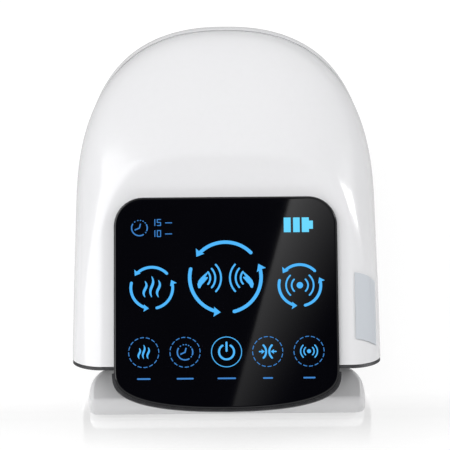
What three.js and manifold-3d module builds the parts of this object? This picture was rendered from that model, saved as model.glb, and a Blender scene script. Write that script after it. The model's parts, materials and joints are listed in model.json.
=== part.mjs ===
// Table-top hand massager: a helmet-shaped shell over a lower base, with a sloping touch panel
// that overhangs the hand mouth. Millimetres, +Z up, front towards -Y, origin on the table
// under the middle of the body.
import * as THREE from "three";
import { mergeVertices } from "three/addons/utils/BufferGeometryUtils.js";
import Module from "manifold-3d";

const wasm = await Module();
wasm.setup();

// Driving dimensions of the whole body
const halfWidth = 89.5;
const halfLength = 127;
const crownLevel = 119.5;
const waistLevel = 43.4;
const rimLevel = 24;
const rearRound = 115;
const tuckDepth = 45;
const shellWall = 2.4;
const clearance = 0.3;
const overrun = 30;
const rearCentre = halfLength - rearRound;

// Curve orders of the body, which are pure numbers
const domeOrder = 3.78;
const planOrder = 2.38;
const tuckOrder = 2.2;
const crownEase = 1.4;
const crownShare = 0.97;

// How finely round shapes are cut
const archSteps = 26;
const crownSteps = 10;
const tuckSteps = 3;
const rodSides = 20;
const smallSides = 12;
const cornerSteps = 6;
const shoulderSteps = 7;

// Deck that carries the panel
const deckTilt = THREE.MathUtils.degToRad(19.4);
const deckLipLevel = 70;
const shoulderWidth = 17.5;
const deckHalfWidth = halfWidth - shoulderWidth;
const deckTopReach = 166;
const deckCornerRadius = 36;
const shoulderRise = 0.3;
const shoulderSpread = 23.1;
const shoulderDepth = 20;

// Mouth rim, which leans forward from the feet of the two legs
const rimLean = THREE.MathUtils.degToRad(28.1);
const legSetback = 53.4;
const legFrontY = -(halfLength - legSetback);

// Parting line between the dome and the rear skirt
const partingFrontLevel = 32;
const partingRearLevel = 106;

// Panel: frame, glass, light guide and touch board, all square to the deck
const panelMargin = 5.6;
const panel = {
  halfWidth: deckHalfWidth - panelMargin,
  length: 124.3,
  lipOverhang: 1.6,
  topRadius: 18,
  lowerSag: 5.5,
  lowerDepth: 20,
  lowerOrder: 4,
  flangeTop: 2,
  flangeReach: 4,
  trayDepth: 7,
  trayWall: 2,
  chinDepth: 7.2,
  chinRise: 3.4,
  glassInset: 2.4,
  glassThickness: 1.3,
  glassProud: 0.5,
  guideThickness: 2,
  boardThickness: 1.6,
};

// Front bezel and hand mouth
const bezel = { thickness: 1.6, inset: 0.6, mouthLap: 1.5, mouthRadius: 13 };

// Trim ring between shell and base
const trim = { inset: 0.9, postGap: 0.7 };

// Lower base, whose front lip stands out under the panel
const baseInset = 16.5;
const lipInset = 6.8;
const base = {
  halfWidth: halfWidth - baseInset,
  lipHalfWidth: halfWidth - lipInset,
  lipSetback: 30.5,
  lipDepth: 2.5,
  flareWidth: 12.7,
  flareLength: 20,
  rearInset: 14,
  topLevel: 20,
  edgeRadius: 3,
  wall: 2,
  cablePortRadius: 3,
};
const cover = { thickness: 2, inset: 1.2 };
const foot = { radius: 9, height: 2.1, sideShare: 0.72, frontShare: 0.6, rearShare: 0.52 };
const coverLow = foot.height + clearance;
const coverTop = coverLow + cover.thickness;
const baseLow = coverTop + clearance;

// Heating film and palm plate, which lie on the base under the lining
const film = { thickness: 0.5, sideGap: 13.5, frontGap: 7.6, rearGap: 36, cornerRadius: 9 };
const palm = {
  thickness: 2,
  sideGap: 10.5,
  frontGap: 3.6,
  rearGap: 28,
  cornerRadius: 9,
  nubRadius: 2.6,
  nubHeight: 1.6,
  nubColumns: 2,
  nubMargin: 11,
  nubPitchY: 20,
  nubSides: 8,
};
const filmLow = base.topLevel + clearance;
const palmLow = filmLow + film.thickness + clearance;
const palmTop = palmLow + palm.thickness;

// Soft lining of the hand space
const liner = {
  sideRoom: 32,
  rearRoom: 39,
  floorGap: 0.4,
  height: 40.9,
  rearRound: 44,
  wall: 2.6,
  edgeRadius: 14,
  edgeSteps: 4,
};
const linerHalf = halfWidth - liner.sideRoom;
const linerRear = halfLength - liner.rearRoom;
const linerLow = palmTop + palm.nubHeight + liner.floorGap;
const linerHigh = linerLow + liner.height;
const linerLength = linerRear - legFrontY;

// Airbags over the lining, placed as shares of its length from the legs to the rear
const airbag = {
  height: 4.1,
  sideGap: 7.5,
  cornerRadius: 9,
  edge: 1.6,
  edgeShare: 0.35,
  stubRadius: 2.2,
  stubHeight: 7,
};
const airbagShares = [
  { name: "airbag_wrist", front: 0.01, rear: 0.245, stub: 0.1275, stubX: 0.88 },
  { name: "airbag_palm", front: 0.265, rear: 0.55, stub: 0.4183, stubX: 0.88 },
  { name: "airbag_fingers", front: 0.57, rear: 0.85, stub: 0.6, stubX: 0.688 },
];
const airbagHalf = linerHalf - airbag.sideGap;
const airbagLow = linerHigh + clearance;

// Chassis plate over the airbags, on four posts, with pegs up into the shell's bosses
const chassis = {
  airGap: 0.4,
  thickness: 2.5,
  sideInset: 6.1,
  rearInset: 7,
  frontSetback: 42,
  postRadius: 4,
  frontPostGap: 5,
  frontPostSetback: 28.6,
  rearPostX: 16,
  rearPostGap: 7.4,
  cableGap: 5.5,
};
const chassisLow = airbagLow + airbag.height + chassis.airGap;
const chassisTop = chassisLow + chassis.thickness;
const frontPostX = linerHalf + chassis.frontPostGap;
const frontPostY = legFrontY + chassis.frontPostSetback;
const rearPostY = linerRear + chassis.rearPostGap;
const shellBoss = {
  radius: 4,
  sideSetback: 53.6,
  rearInset: 39.5,
  rearSetback: 40,
  pegRadius: 1.8,
  pegHeight: 8,
};

// Air pump, lying along X
const pump = {
  placeShare: 0.777,
  rise: 17.2,
  motorRadius: 12,
  motorLength: 30,
  motorLeft: -52,
  housingRadius: 13.5,
  housingLength: 19,
  housingWall: 2.5,
  housingBore: 10.4,
  shaftRadius: 1,
  shaftGrip: 8,
  discRadius: 6.4,
  discThickness: 3.6,
  pinRadius: 1.2,
  pinOffset: 3.2,
  diaphragmThickness: 2.6,
  cupRadius: 3.1,
  cupOffset: 6.6,
  cupLength: 3.4,
  rockerRadius: 8.8,
  rockerThickness: 1.4,
  capLength: 9,
  nozzleRadius: 2.2,
  nozzleLength: 8,
  cradleWidth: 20,
  cradleWall: 3,
  cradleHeight: 9,
};

const pumpY = legFrontY + linerLength * pump.placeShare;
const pumpZ = chassisTop + pump.rise;

// Air manifold, hoses and exhaust valves
const manifold = {
  x: 42,
  width: 24,
  depth: 14,
  height: 12,
  portRadius: 2.2,
  portLength: 6,
  portPitch: 7.6,
  pedestal: 9,
};
const hose = { radius: 3.4, bore: 2.7, sides: 8, steps: 20, straight: 3.1, endStraight: 8.4 };

// Bends of each hose, as shares of the way from its airbag's stub to its port: across, along, up
const hoseShares = [
  [
    [0, 0.005, 0.3],
    [0.36, 0.1, 0.59],
    [0.9, 0.28, 0.74],
    [1, 0.5, 0.96],
    [1, 0.82, 1],
  ],
  [
    [0, 0.01, 0.28],
    [0.5, 0.19, 0.67],
    [1, 0.48, 0.96],
    [1, 0.8, 1],
  ],
  [
    [0, 0.02, 0.3],
    [0, 0.32, 0.78],
  ],
];
const valve = {
  width: 13,
  depth: 13,
  height: 18,
  pitch: 14.4,
  boreRadius: 2.6,
  boreDepth: 12,
  plungerRadius: 2.2,
  headRadius: 3.8,
  headThickness: 1.4,
  travel: 1,
  springRoom: 6,
  springRadius: 3.1,
  wireRadius: 0.35,
  turns: 2.5,
  turnSteps: 8,
  wireSides: 5,
};

// Vibration motors in the lower base
const shaker = {
  x: 16,
  y: -34,
  level: 10.8,
  canRadius: 5,
  canLength: 16,
  shaftRadius: 0.8,
  shaftGrip: 6,
  weightRadius: 4.6,
  hubRadius: 2,
  weightLength: 6,
  weightGap: 1,
  clampWall: 1.2,
  clampLength: 9,
  clampFlange: 5,
};

// Battery pair in its bay on the cover, and the charge socket
const battery = {
  sideRoom: 23,
  length: 36,
  height: 8,
  y: 30,
  gap: 4,
  cornerRadius: 3,
  bayWall: 1.5,
  bayHeight: 6,
};
const socket = { width: 9, depth: 7.4, height: 3.4, recess: 0.4, boreWidth: 7.2, boreHeight: 1.8, level: 12 };
const socketBoard = { width: 18, depth: 14, thickness: 1.2, solder: 0.2, setback: 0.8 };

// Boards
const mainBoard = {
  width: 72,
  length: 46,
  thickness: 1.6,
  pumpGap: 64,
  standoff: 4.4,
  standoffRadius: 3,
  edge: 4,
};
const chip = { height: 1.4, coilRadius: 4, coilHeight: 6 };
const buzzer = { radius: 6, height: 5.5, holeRadius: 1 };

// Places on the main board and sizes of its parts, as shares of the board and of a chip's height
const chipShares = [
  { x: -0.04, y: -0.28, width: 0.17, length: 0.26, height: 1 },
  { x: 0.24, y: -0.3, width: 0.14, length: 0.16, height: 1 },
  { x: 0.34, y: 0.02, width: 0.1, length: 0.3, height: 2.4 },
  { x: 0.2, y: 0.34, width: 0.24, length: 0.12, height: 3 },
  { x: -0.36, y: -0.02, width: 0.08, length: 0.14, height: 1.6 },
  { x: -0.34, y: -0.32, width: 0.12, length: 0.12, height: 1 },
];
const coilShares = [
  { x: -0.24, y: 0.02 },
  { x: 0.2, y: 0.02 },
];
const buzzerShares = { x: -0.22, y: 0.32 };

// Flat cable and wire harness
const ribbon = { width: 12, thickness: 0.5, slack: 5, slotReach: 3, steps: 10, endShare: 0.1 };
const plugShares = { x: -0.42, y: 0.35, width: 0.12, length: 0.2, height: 3 };
const harness = {
  radius: 1.4,
  sides: 6,
  steps: 24,
  plugRise: 2.4,
  arch: 1,
  drop: 5,
  endRise: 3.9,
  endShare: 0.22,
  outShares: [0.25, 0.68, 0.965],
  inShares: [0.06, 0.6],
};
const mainBoardY = pumpY - mainBoard.pumpGap;
const boardLow = chassisTop + mainBoard.standoff + clearance;
const boardHigh = boardLow + mainBoard.thickness;
const boardX = (share) => mainBoard.width * share;
const boardY = (share) => mainBoardY + mainBoard.length * share;
const cableX = -(linerHalf + chassis.cableGap);
const cableY = boardY(plugShares.y);

// Screws
const screw = {
  headRadius: 3,
  headHeight: 1.6,
  shankRadius: 1.4,
  shankLength: 9,
  crossWidth: 0.7,
  crossDepth: 0.8,
  crossReach: 1.8,
};
const coverScrew = {
  sideInset: 9.4,
  frontSetback: 60,
  rearX: 30,
  rearSetback: 35,
  postRadius: 4,
  recess: 1.2,
};

// Blank label that wraps over the edge of the right shoulder
const label = { thickness: 0.3, deckGap: 3, lowLevel: 77, frontSetback: 36, length: 36 };

// Finishes
const finish = {
  shell: { color: 0xf2f3f5, roughness: 0.18, metalness: 0 },
  base: { color: 0xe9eaec, roughness: 0.32, metalness: 0 },
  dark: { color: 0x2b2c2f, roughness: 0.45, metalness: 0 },
  glass: { color: 0x050608, roughness: 0.06, metalness: 0 },
  guide: { color: 0x6bbcf2, roughness: 0.5, metalness: 0 },
  board: { color: 0x14532d, roughness: 0.5, metalness: 0 },
  part: { color: 0x1c1d20, roughness: 0.5, metalness: 0 },
  steel: { color: 0xb9bcc2, roughness: 0.35, metalness: 1 },
  brass: { color: 0xc9a24a, roughness: 0.35, metalness: 1 },
  plastic: { color: 0xd8dadd, roughness: 0.5, metalness: 0 },
  rubber: { color: 0x2a2a2c, roughness: 0.85, metalness: 0 },
  clearTube: { color: 0xdfe6ea, roughness: 0.4, metalness: 0 },
  fabric: { color: 0x8d9096, roughness: 0.95, metalness: 0 },
  bag: { color: 0x3c4048, roughness: 0.7, metalness: 0 },
  film: { color: 0xc77b2a, roughness: 0.5, metalness: 0 },
  foil: { color: 0xb9bdc4, roughness: 0.35, metalness: 0.6 },
  cell: { color: 0xaab2bd, roughness: 0.4, metalness: 0.6 },
};

const massager = new THREE.Group();

function addPiece(name, geometry, look) {
  const mesh = new THREE.Mesh(geometry, new THREE.MeshStandardMaterial(look));
  mesh.name = name;
  massager.add(mesh);
}

// Joining and cutting

function solidOf(geometry) {
  const bare = new THREE.BufferGeometry();
  bare.setAttribute("position", geometry.getAttribute("position"));
  if (geometry.index) bare.setIndex(geometry.index);
  const welded = mergeVertices(bare);
  const corners = welded.index.array;
  const kept = [];
  for (let i = 0; i < corners.length; i += 3) {
    const [a, b, c] = [corners[i], corners[i + 1], corners[i + 2]];
    if (a !== b && b !== c && c !== a) kept.push(a, b, c);
  }
  return new wasm.Manifold(
    new wasm.Mesh({
      numProp: 3,
      vertProperties: new Float32Array(welded.getAttribute("position").array),
      triVerts: new Uint32Array(kept),
    })
  );
}

function geometryOf(solid) {
  const mesh = solid.getMesh();
  const geometry = new THREE.BufferGeometry();
  const places = new Float32Array(mesh.numVert * 3);
  for (let i = 0; i < mesh.numVert; i += 1) {
    for (let k = 0; k < 3; k += 1) {
      places[i * 3 + k] = mesh.vertProperties[i * mesh.numProp + k];
    }
  }
  geometry.setAttribute("position", new THREE.BufferAttribute(places, 3));
  geometry.setIndex(new THREE.BufferAttribute(new Uint32Array(mesh.triVerts), 1));
  geometry.computeVertexNormals();
  return geometry;
}

function joined(...solids) {
  return solids.reduce((whole, next) => whole.add(next));
}

function cut(solid, ...cutters) {
  return cutters.reduce((whole, next) => whole.subtract(next), solid);
}

// Basic solids

function block(width, depth, height, x, y, z) {
  return solidOf(new THREE.BoxGeometry(width, depth, height).translate(x, y, z));
}

function rod(axis, radius, from, to, first, second, sides = rodSides) {
  const geometry = new THREE.CylinderGeometry(radius, radius, to - from, sides);
  const middle = (from + to) / 2;
  if (axis === "x") geometry.rotateZ(-Math.PI / 2).translate(middle, first, second);
  if (axis === "y") geometry.translate(first, middle, second);
  if (axis === "z") geometry.rotateX(Math.PI / 2).translate(first, second, middle);
  return solidOf(geometry);
}

function drawnOut(outline, depth) {
  return new THREE.ExtrudeGeometry(new THREE.Shape(outline), { depth, bevelEnabled: false });
}

function slab(outline, from, to) {
  return solidOf(drawnOut(outline, to - from).translate(0, 0, from));
}

// A side-view profile in (y, z), drawn out along X
function sideGeometry(profile, from, to) {
  const turn = new THREE.Matrix4().makeBasis(
    new THREE.Vector3(0, 1, 0),
    new THREE.Vector3(0, 0, 1),
    new THREE.Vector3(1, 0, 0)
  );
  return drawnOut(profile, to - from).applyMatrix4(turn).translate(from, 0, 0);
}

function sideSlab(profile, from, to) {
  return solidOf(sideGeometry(profile, from, to));
}

// Rings of equal point count, stacked upwards and closed with a flat face at each end
function stack(rings) {
  const count = rings[0].length;
  const places = rings.flat().flat();
  const index = [];
  for (let r = 0; r + 1 < rings.length; r += 1) {
    for (let i = 0; i < count; i += 1) {
      const low = r * count + i;
      const lowNext = r * count + ((i + 1) % count);
      index.push(low, lowNext, lowNext + count, low, lowNext + count, low + count);
    }
  }
  const top = (rings.length - 1) * count;
  for (let i = 1; i + 1 < count; i += 1) {
    index.push(0, i + 1, i, top, top + i, top + i + 1);
  }
  const geometry = new THREE.BufferGeometry();
  geometry.setAttribute("position", new THREE.Float32BufferAttribute(places, 3));
  geometry.setIndex(index);
  return solidOf(geometry);
}

// A round tube along a smooth curve, with an open bore if one is given
function tube(points, radius, sides, steps, bore = 0) {
  const circle = (size) => {
    const whole = new THREE.Path().absarc(0, 0, size, 0, Math.PI * 2);
    return whole.getSpacedPoints(sides).slice(0, sides);
  };
  const section = new THREE.Shape(circle(radius));
  if (bore > 0) section.holes.push(new THREE.Path(circle(bore)));
  const path = new THREE.CatmullRomCurve3(points.map((p) => new THREE.Vector3(...p)));
  return new THREE.ExtrudeGeometry(section, { steps, extrudePath: path, bevelEnabled: false });
}

// Outlines

// Rectangle with its own corner radius at the low and at the high end
function roundedOutline(half, low, high, lowRadius, highRadius) {
  const corners = [
    [half - lowRadius, low + lowRadius, lowRadius, -Math.PI / 2],
    [half - highRadius, high - highRadius, highRadius, 0],
    [-half + highRadius, high - highRadius, highRadius, Math.PI / 2],
    [-half + lowRadius, low + lowRadius, lowRadius, Math.PI],
  ];
  const points = [];
  for (const [x, y, radius, start] of corners) {
    const steps = radius > 0 ? cornerSteps : 0;
    for (let i = 0; i <= steps; i += 1) {
      const angle = start + (steps ? (Math.PI / 2) * (i / steps) : 0);
      points.push(new THREE.Vector2(x + radius * Math.cos(angle), y + radius * Math.sin(angle)));
    }
  }
  return points;
}

// Straight sides from a front line, closed at the rear by a superellipse arc
function podOutline(half, rear, frontY) {
  const points = [new THREE.Vector2(-half, frontY), new THREE.Vector2(half, frontY)];
  for (let i = 0; i <= archSteps; i += 1) {
    const angle = (Math.PI * i) / archSteps;
    const across = Math.abs(Math.cos(angle)) ** (2 / planOrder) * Math.sign(Math.cos(angle));
    const along = Math.abs(Math.sin(angle)) ** (2 / planOrder);
    points.push(new THREE.Vector2(half * across, rearCentre + rear * along));
  }
  return points;
}

function ringAt(outline, z) {
  return outline.map((p) => [p.x, p.y, z]);
}

// Body form: how far out the wall stands at each level, as a share of the waist
function wallLevels(inset) {
  const levels = [];
  for (let i = 0; i <= tuckSteps; i += 1) {
    const drop = (waistLevel - rimLevel) * (1 - i / tuckSteps);
    levels.push([waistLevel - drop, (1 - (drop / tuckDepth) ** tuckOrder) ** (1 / tuckOrder)]);
  }
  for (let i = 1; i <= crownSteps; i += 1) {
    const angle = (Math.PI / 2) * crownShare * (i / crownSteps) ** crownEase;
    const rise = Math.sin(angle) ** (2 / domeOrder);
    levels.push([waistLevel + (crownLevel - inset - waistLevel) * rise, Math.cos(angle) ** (2 / domeOrder)]);
  }
  return levels;
}

const formFront = -halfLength - overrun;

// A floor drop carries the lowest outline straight down, so that a hollow opens below
function pod(inset, floorDrop = 0) {
  const rings = wallLevels(inset).map(([z, reach]) =>
    ringAt(podOutline(halfWidth * reach - inset, rearRound * reach - inset, formFront), z)
  );
  if (floorDrop > 0) {
    rings.unshift(rings[0].map(([x, y, z]) => [x, y, z - floorDrop]));
  }
  return stack(rings);
}

// Deck frame: x across, u up the slope from the lip, h square to it
const deckLipY = -halfLength + panel.lipOverhang * Math.cos(deckTilt) + panel.flangeTop * Math.sin(deckTilt);

function onDeck(geometry) {
  return geometry.rotateX(deckTilt).translate(0, deckLipY, deckLipLevel);
}

function deckSlab(outline, from, to) {
  return solidOf(onDeck(drawnOut(outline, to - from).translate(0, 0, from)));
}

function deckLevel(y) {
  return deckLipLevel + (y - deckLipY) * Math.tan(deckTilt);
}

// Above the legs: level over the deck, then a quarter ellipse down to each side wall
function aboveShoulder(inset) {
  const centre = halfWidth - shoulderSpread;
  const spread = shoulderSpread - inset;
  const depth = shoulderDepth - inset;
  const foot = shoulderRise - shoulderDepth;
  const far = halfWidth + overrun;
  const right = [];
  for (let i = 0; i <= shoulderSteps; i += 1) {
    const angle = ((Math.PI / 2) * i) / shoulderSteps;
    right.push(new THREE.Vector2(centre + spread * Math.sin(angle), foot + depth * Math.cos(angle)));
  }
  right.push(new THREE.Vector2(far, foot), new THREE.Vector2(far, crownLevel));
  const left = right.map((point) => new THREE.Vector2(-point.x, point.y)).reverse();
  const length = halfLength * 2;
  const bar = drawnOut([...left, ...right], length + overrun).rotateX(Math.PI / 2).translate(0, length, 0);
  return solidOf(onDeck(bar));
}

function aboveDeck(drop) {
  const outline = roundedOutline(deckHalfWidth + drop, -overrun, deckTopReach + drop, 0, deckCornerRadius);
  return deckSlab(outline, -drop, crownLevel);
}

// Everything in front of the leaning mouth rim, moved forward by a distance square to it
function beforeRim(forward) {
  const shift = forward / Math.cos(rimLean);
  const footY = legFrontY - shift + rimLevel * Math.tan(rimLean);
  const headY = legFrontY - shift - (crownLevel + overrun - rimLevel) * Math.tan(rimLean);
  const farY = -halfLength * 2;
  return sideSlab(
    [
      new THREE.Vector2(footY + overrun * Math.tan(rimLean), -overrun),
      new THREE.Vector2(headY, crownLevel + overrun),
      new THREE.Vector2(farY, crownLevel + overrun),
      new THREE.Vector2(farY, -overrun),
    ],
    -halfWidth - overrun,
    halfWidth + overrun
  );
}

// Everything above the parting plane, moved up by a distance
const partingSlope = (partingRearLevel - partingFrontLevel) / (halfLength - legFrontY);

function aboveParting(lift) {
  const levelAt = (y) => partingFrontLevel + lift + (y - legFrontY) * partingSlope;
  const far = halfLength * 2;
  return sideSlab(
    [
      new THREE.Vector2(-far, levelAt(-far)),
      new THREE.Vector2(far, levelAt(far)),
      new THREE.Vector2(far, levelAt(far) + far),
      new THREE.Vector2(-far, levelAt(far) + far),
    ],
    -halfWidth - overrun,
    halfWidth + overrun
  );
}

// Panel outline: straight sides, round upper corners, a bowed lower edge
function panelOutline(inset) {
  const half = panel.halfWidth - inset;
  const low = -panel.lipOverhang + inset;
  const high = panel.length - panel.lipOverhang - inset;
  const radius = panel.topRadius - inset;
  const points = [];
  const steps = cornerSteps * 2;
  for (let i = -steps; i <= steps; i += 1) {
    const angle = (Math.PI / 2) * (i / steps);
    const across = Math.abs(Math.sin(angle)) ** (2 / panel.lowerOrder) * Math.sign(angle);
    const bow = panel.lowerSag * across * across;
    const corner = panel.lowerDepth * (1 - Math.abs(Math.cos(angle)) ** (2 / panel.lowerOrder));
    points.push(new THREE.Vector2(half * across, low + bow + corner));
  }
  for (const [x, start] of [
    [half - radius, 0],
    [-half + radius, Math.PI / 2],
  ]) {
    for (let i = 0; i <= cornerSteps; i += 1) {
      const angle = start + ((Math.PI / 2) * i) / cornerSteps;
      points.push(new THREE.Vector2(x + radius * Math.cos(angle), high - radius + radius * Math.sin(angle)));
    }
  }
  return points;
}

// A front-view outline in (x, z), drawn out along Y
function frontSlab(outline, from, to) {
  const turn = new THREE.Matrix4().makeBasis(
    new THREE.Vector3(1, 0, 0),
    new THREE.Vector3(0, 0, 1),
    new THREE.Vector3(0, -1, 0)
  );
  return solidOf(drawnOut(outline, to - from).applyMatrix4(turn).translate(0, to, 0));
}

function mirroredX(places) {
  return places.flatMap(([x, y]) => [
    [x, y],
    [-x, y],
  ]);
}

// Outer body as one solid form, grown or shrunk by an inset
function bodyForm(inset, floorDrop = 0) {
  return cut(pod(inset, floorDrop), aboveShoulder(inset), aboveDeck(inset));
}

// Upper shell and rear skirt
const trayCut = deckSlab(panelOutline(panel.flangeReach - clearance), -panel.trayDepth - clearance, overrun);
const wholeShell = cut(bodyForm(0), bodyForm(shellWall, overrun), trayCut, beforeRim(0));
const bossPlaces = mirroredX([
  [deckHalfWidth, legFrontY + shellBoss.sideSetback],
  [halfWidth - shellBoss.rearInset, halfLength - shellBoss.rearSetback],
]);
const pegTop = chassisTop + shellBoss.pegHeight;
const bosses = bossPlaces.map(([x, y]) =>
  cut(
    rod("z", shellBoss.radius, chassisTop + clearance, crownLevel + overrun, x, y, smallSides),
    rod("z", shellBoss.pegRadius + clearance, 0, pegTop + clearance, x, y, smallSides)
  ).intersect(bodyForm(shellWall / 2))
);
addPiece("upper_shell", geometryOf(joined(wholeShell.intersect(aboveParting(0)), ...bosses)), finish.shell);
addPiece("skirt_shell", geometryOf(cut(wholeShell, aboveParting(-clearance))), finish.shell);

// Trim ring between the shell and the base, open towards the mouth
const rimReach = wallLevels(0)[0][1];
const trimTop = rimLevel - clearance;
const trimLow = base.topLevel + clearance;
const trimHalf = halfWidth * rimReach - trim.inset;
const trimRear = rearRound * rimReach - trim.inset;
const trimWidth = trimHalf - frontPostX - chassis.postRadius - trim.postGap;
addPiece(
  "shell_trim",
  geometryOf(
    cut(
      slab(podOutline(trimHalf, trimRear, legFrontY), trimLow, trimTop),
      slab(podOutline(trimHalf - trimWidth, trimRear - trimWidth, formFront), 0, crownLevel)
    )
  ),
  finish.dark
);

// Front bezel round the hand mouth
const mouthHalf = linerHalf - bezel.mouthLap;
const mouthTop = linerHigh - bezel.mouthLap;
const mouthOutline = roundedOutline(mouthHalf, 0, mouthTop, 0, bezel.mouthRadius);
addPiece(
  "front_bezel",
  geometryOf(
    cut(
      bodyForm(bezel.inset).intersect(beforeRim(clearance)),
      beforeRim(clearance + bezel.thickness),
      frontSlab(mouthOutline, -halfLength * 2, halfLength),
      trayCut
    )
  ),
  finish.dark
);

// Panel frame: a flange on the deck, a tray through it, and a chin out over the mouth
const glassTop = panel.flangeTop + panel.glassProud;
const glassBottom = glassTop - panel.glassThickness;
const pocketInset = panel.flangeReach + panel.trayWall;
const guideTop = glassBottom - clearance;
const guideBottom = guideTop - panel.guideThickness;
const touchTop = guideBottom - clearance;
const touchBottom = touchTop - panel.boardThickness;
const pocketFloor = -panel.trayDepth + panel.trayWall;
const ribbonU = panel.length - panel.lipOverhang - pocketInset - panel.flangeReach;
const chinFloor = -panel.chinDepth;
const chinWedge = solidOf(
  onDeck(
    sideGeometry(
      [
        new THREE.Vector2(-overrun, chinFloor + panel.chinRise),
        new THREE.Vector2(-panel.lipOverhang, chinFloor + panel.chinRise),
        new THREE.Vector2(overrun, chinFloor),
        new THREE.Vector2(overrun, -overrun),
        new THREE.Vector2(-overrun, -overrun),
      ],
      -halfWidth,
      halfWidth
    )
  )
);
const chinReach = bezel.thickness + clearance * 2;
const chin = deckSlab(panelOutline(0), chinFloor, panel.flangeTop).intersect(beforeRim(chinReach));
const ribbonSlot = solidOf(
  onDeck(
    new THREE.BoxGeometry(ribbon.width + clearance * 4, ribbon.slotReach * 2, panel.trayDepth * 2).translate(
      0,
      ribbonU,
      -panel.trayDepth
    )
  )
);
addPiece(
  "panel_frame",
  geometryOf(
    cut(
      joined(
        deckSlab(panelOutline(0), clearance, panel.flangeTop),
        deckSlab(panelOutline(panel.flangeReach), -panel.trayDepth, panel.flangeTop),
        cut(chin, chinWedge)
      ),
      deckSlab(panelOutline(pocketInset), pocketFloor, overrun),
      deckSlab(panelOutline(panel.glassInset - clearance), glassBottom - clearance, overrun),
      ribbonSlot
    )
  ),
  finish.dark
);
addPiece(
  "cover_glass",
  geometryOf(deckSlab(panelOutline(panel.glassInset), glassBottom, glassTop)),
  finish.glass
);
addPiece(
  "light_guide",
  geometryOf(deckSlab(panelOutline(pocketInset + clearance), guideBottom, guideTop)),
  finish.guide
);
addPiece(
  "touch_board",
  geometryOf(deckSlab(panelOutline(pocketInset + clearance), touchBottom, touchTop)),
  finish.board
);

// Blank label, a skin that follows the shoulder and the side of the right leg
const labelSkin = cut(bodyForm(-clearance - label.thickness), bodyForm(-clearance));
const labelFront = -(halfLength - label.frontSetback);
const labelSpan = block(
  halfWidth,
  label.length,
  crownLevel,
  deckHalfWidth + label.deckGap + halfWidth / 2,
  labelFront + label.length / 2,
  label.lowLevel + crownLevel / 2
);
addPiece("rating_label", geometryOf(labelSkin.intersect(labelSpan)), finish.foil);

// Lower base: a tub turned over, with its lip flared out in front of the legs
const lipY = -(halfLength - base.lipSetback);
const flareY = lipY + base.lipDepth;
const baseRear = rearRound - base.rearInset;

function baseOutline(inset) {
  const half = base.halfWidth - inset;
  const lipHalf = base.lipHalfWidth - inset;
  const flareX = base.lipHalfWidth - base.flareWidth;
  const start = Math.acos((half - flareX) / (base.flareWidth - inset));
  const right = [
    new THREE.Vector2(lipHalf - base.lipDepth, lipY + inset),
    new THREE.Vector2(lipHalf, flareY + inset),
  ];
  for (let i = 1; i <= cornerSteps; i += 1) {
    const angle = (start * i) / cornerSteps;
    right.push(
      new THREE.Vector2(
        flareX + (base.flareWidth - inset) * Math.cos(angle),
        flareY + (base.flareLength - inset) * Math.sin(angle)
      )
    );
  }
  const arc = podOutline(half, baseRear - inset, flareY).slice(2);
  const left = right.map((p) => new THREE.Vector2(-p.x, p.y)).reverse();
  return [...right, ...arc, ...left];
}

const baseRings = [
  [0, baseLow],
  [0, base.topLevel - base.edgeRadius],
];
for (let i = 1; i <= 3; i += 1) {
  const angle = (Math.PI / 2) * (i / 3);
  baseRings.push([
    base.edgeRadius * (1 - Math.cos(angle)),
    base.topLevel - base.edgeRadius + base.edgeRadius * Math.sin(angle),
  ]);
}
const baseCeiling = base.topLevel - base.wall;
const chassisPostPlaces = mirroredX([
  [frontPostX, frontPostY],
  [chassis.rearPostX, rearPostY],
]);
const coverScrewPlaces = mirroredX([
  [base.halfWidth - coverScrew.sideInset, -(halfLength - coverScrew.frontSetback)],
  [coverScrew.rearX, halfLength - coverScrew.rearSetback],
]);
const baseBlock = stack(baseRings.map(([inset, z]) => ringAt(baseOutline(inset), z)));
const baseHollow = slab(baseOutline(base.wall), 0, baseCeiling);
const coverPosts = coverScrewPlaces.map(([x, y]) =>
  cut(
    rod("z", coverScrew.postRadius, baseLow, base.topLevel - base.wall / 2, x, y, smallSides),
    rod("z", screw.shankRadius + clearance, 0, coverTop + screw.shankLength, x, y, smallSides)
  )
);
const bodyScrewHoles = chassisPostPlaces.map(([x, y]) =>
  rod("z", screw.shankRadius + clearance, 0, base.topLevel + overrun, x, y, smallSides)
);
const cablePort = rod("z", base.cablePortRadius, 0, base.topLevel + overrun, cableX, cableY, smallSides);
const socketY = rearCentre + baseRear;
const socketHole = block(
  socket.width + clearance * 2,
  socket.depth * 2,
  socket.height + clearance * 2,
  0,
  socketY,
  socket.level
);
const baseTub = joined(cut(baseBlock, baseHollow), ...coverPosts);
addPiece("lower_base", geometryOf(cut(baseTub, ...bodyScrewHoles, cablePort, socketHole)), finish.base);

// Bottom cover with the battery bay, its screws and the four feet
const coverHoles = coverScrewPlaces.map(([x, y]) =>
  joined(
    rod("z", screw.shankRadius + clearance, 0, coverTop + clearance, x, y, smallSides),
    rod("z", screw.headRadius + clearance, 0, coverLow + coverScrew.recess, x, y, smallSides)
  )
);
const cellWidth = base.halfWidth - battery.sideRoom;
const cellX = (cellWidth + battery.gap) / 2;
const bayInnerWidth = (cellX + cellWidth / 2 + clearance) * 2;
const bayInnerLength = battery.length + clearance * 2;
const bayTop = coverTop + battery.bayHeight;
const bayBox = (grow, low, high) =>
  block(bayInnerWidth + grow * 2, bayInnerLength + grow * 2, high - low, 0, battery.y, (low + high) / 2);
const bay = cut(bayBox(battery.bayWall, coverLow, bayTop), bayBox(0, coverTop, bayTop + overrun));
addPiece(
  "bottom_cover",
  geometryOf(joined(cut(slab(baseOutline(cover.inset), coverLow, coverTop), ...coverHoles), bay)),
  finish.base
);
const footPlaces = mirroredX([
  [base.halfWidth * foot.sideShare, lipY * foot.frontShare],
  [base.halfWidth * foot.sideShare, halfLength * foot.rearShare],
]);
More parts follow.
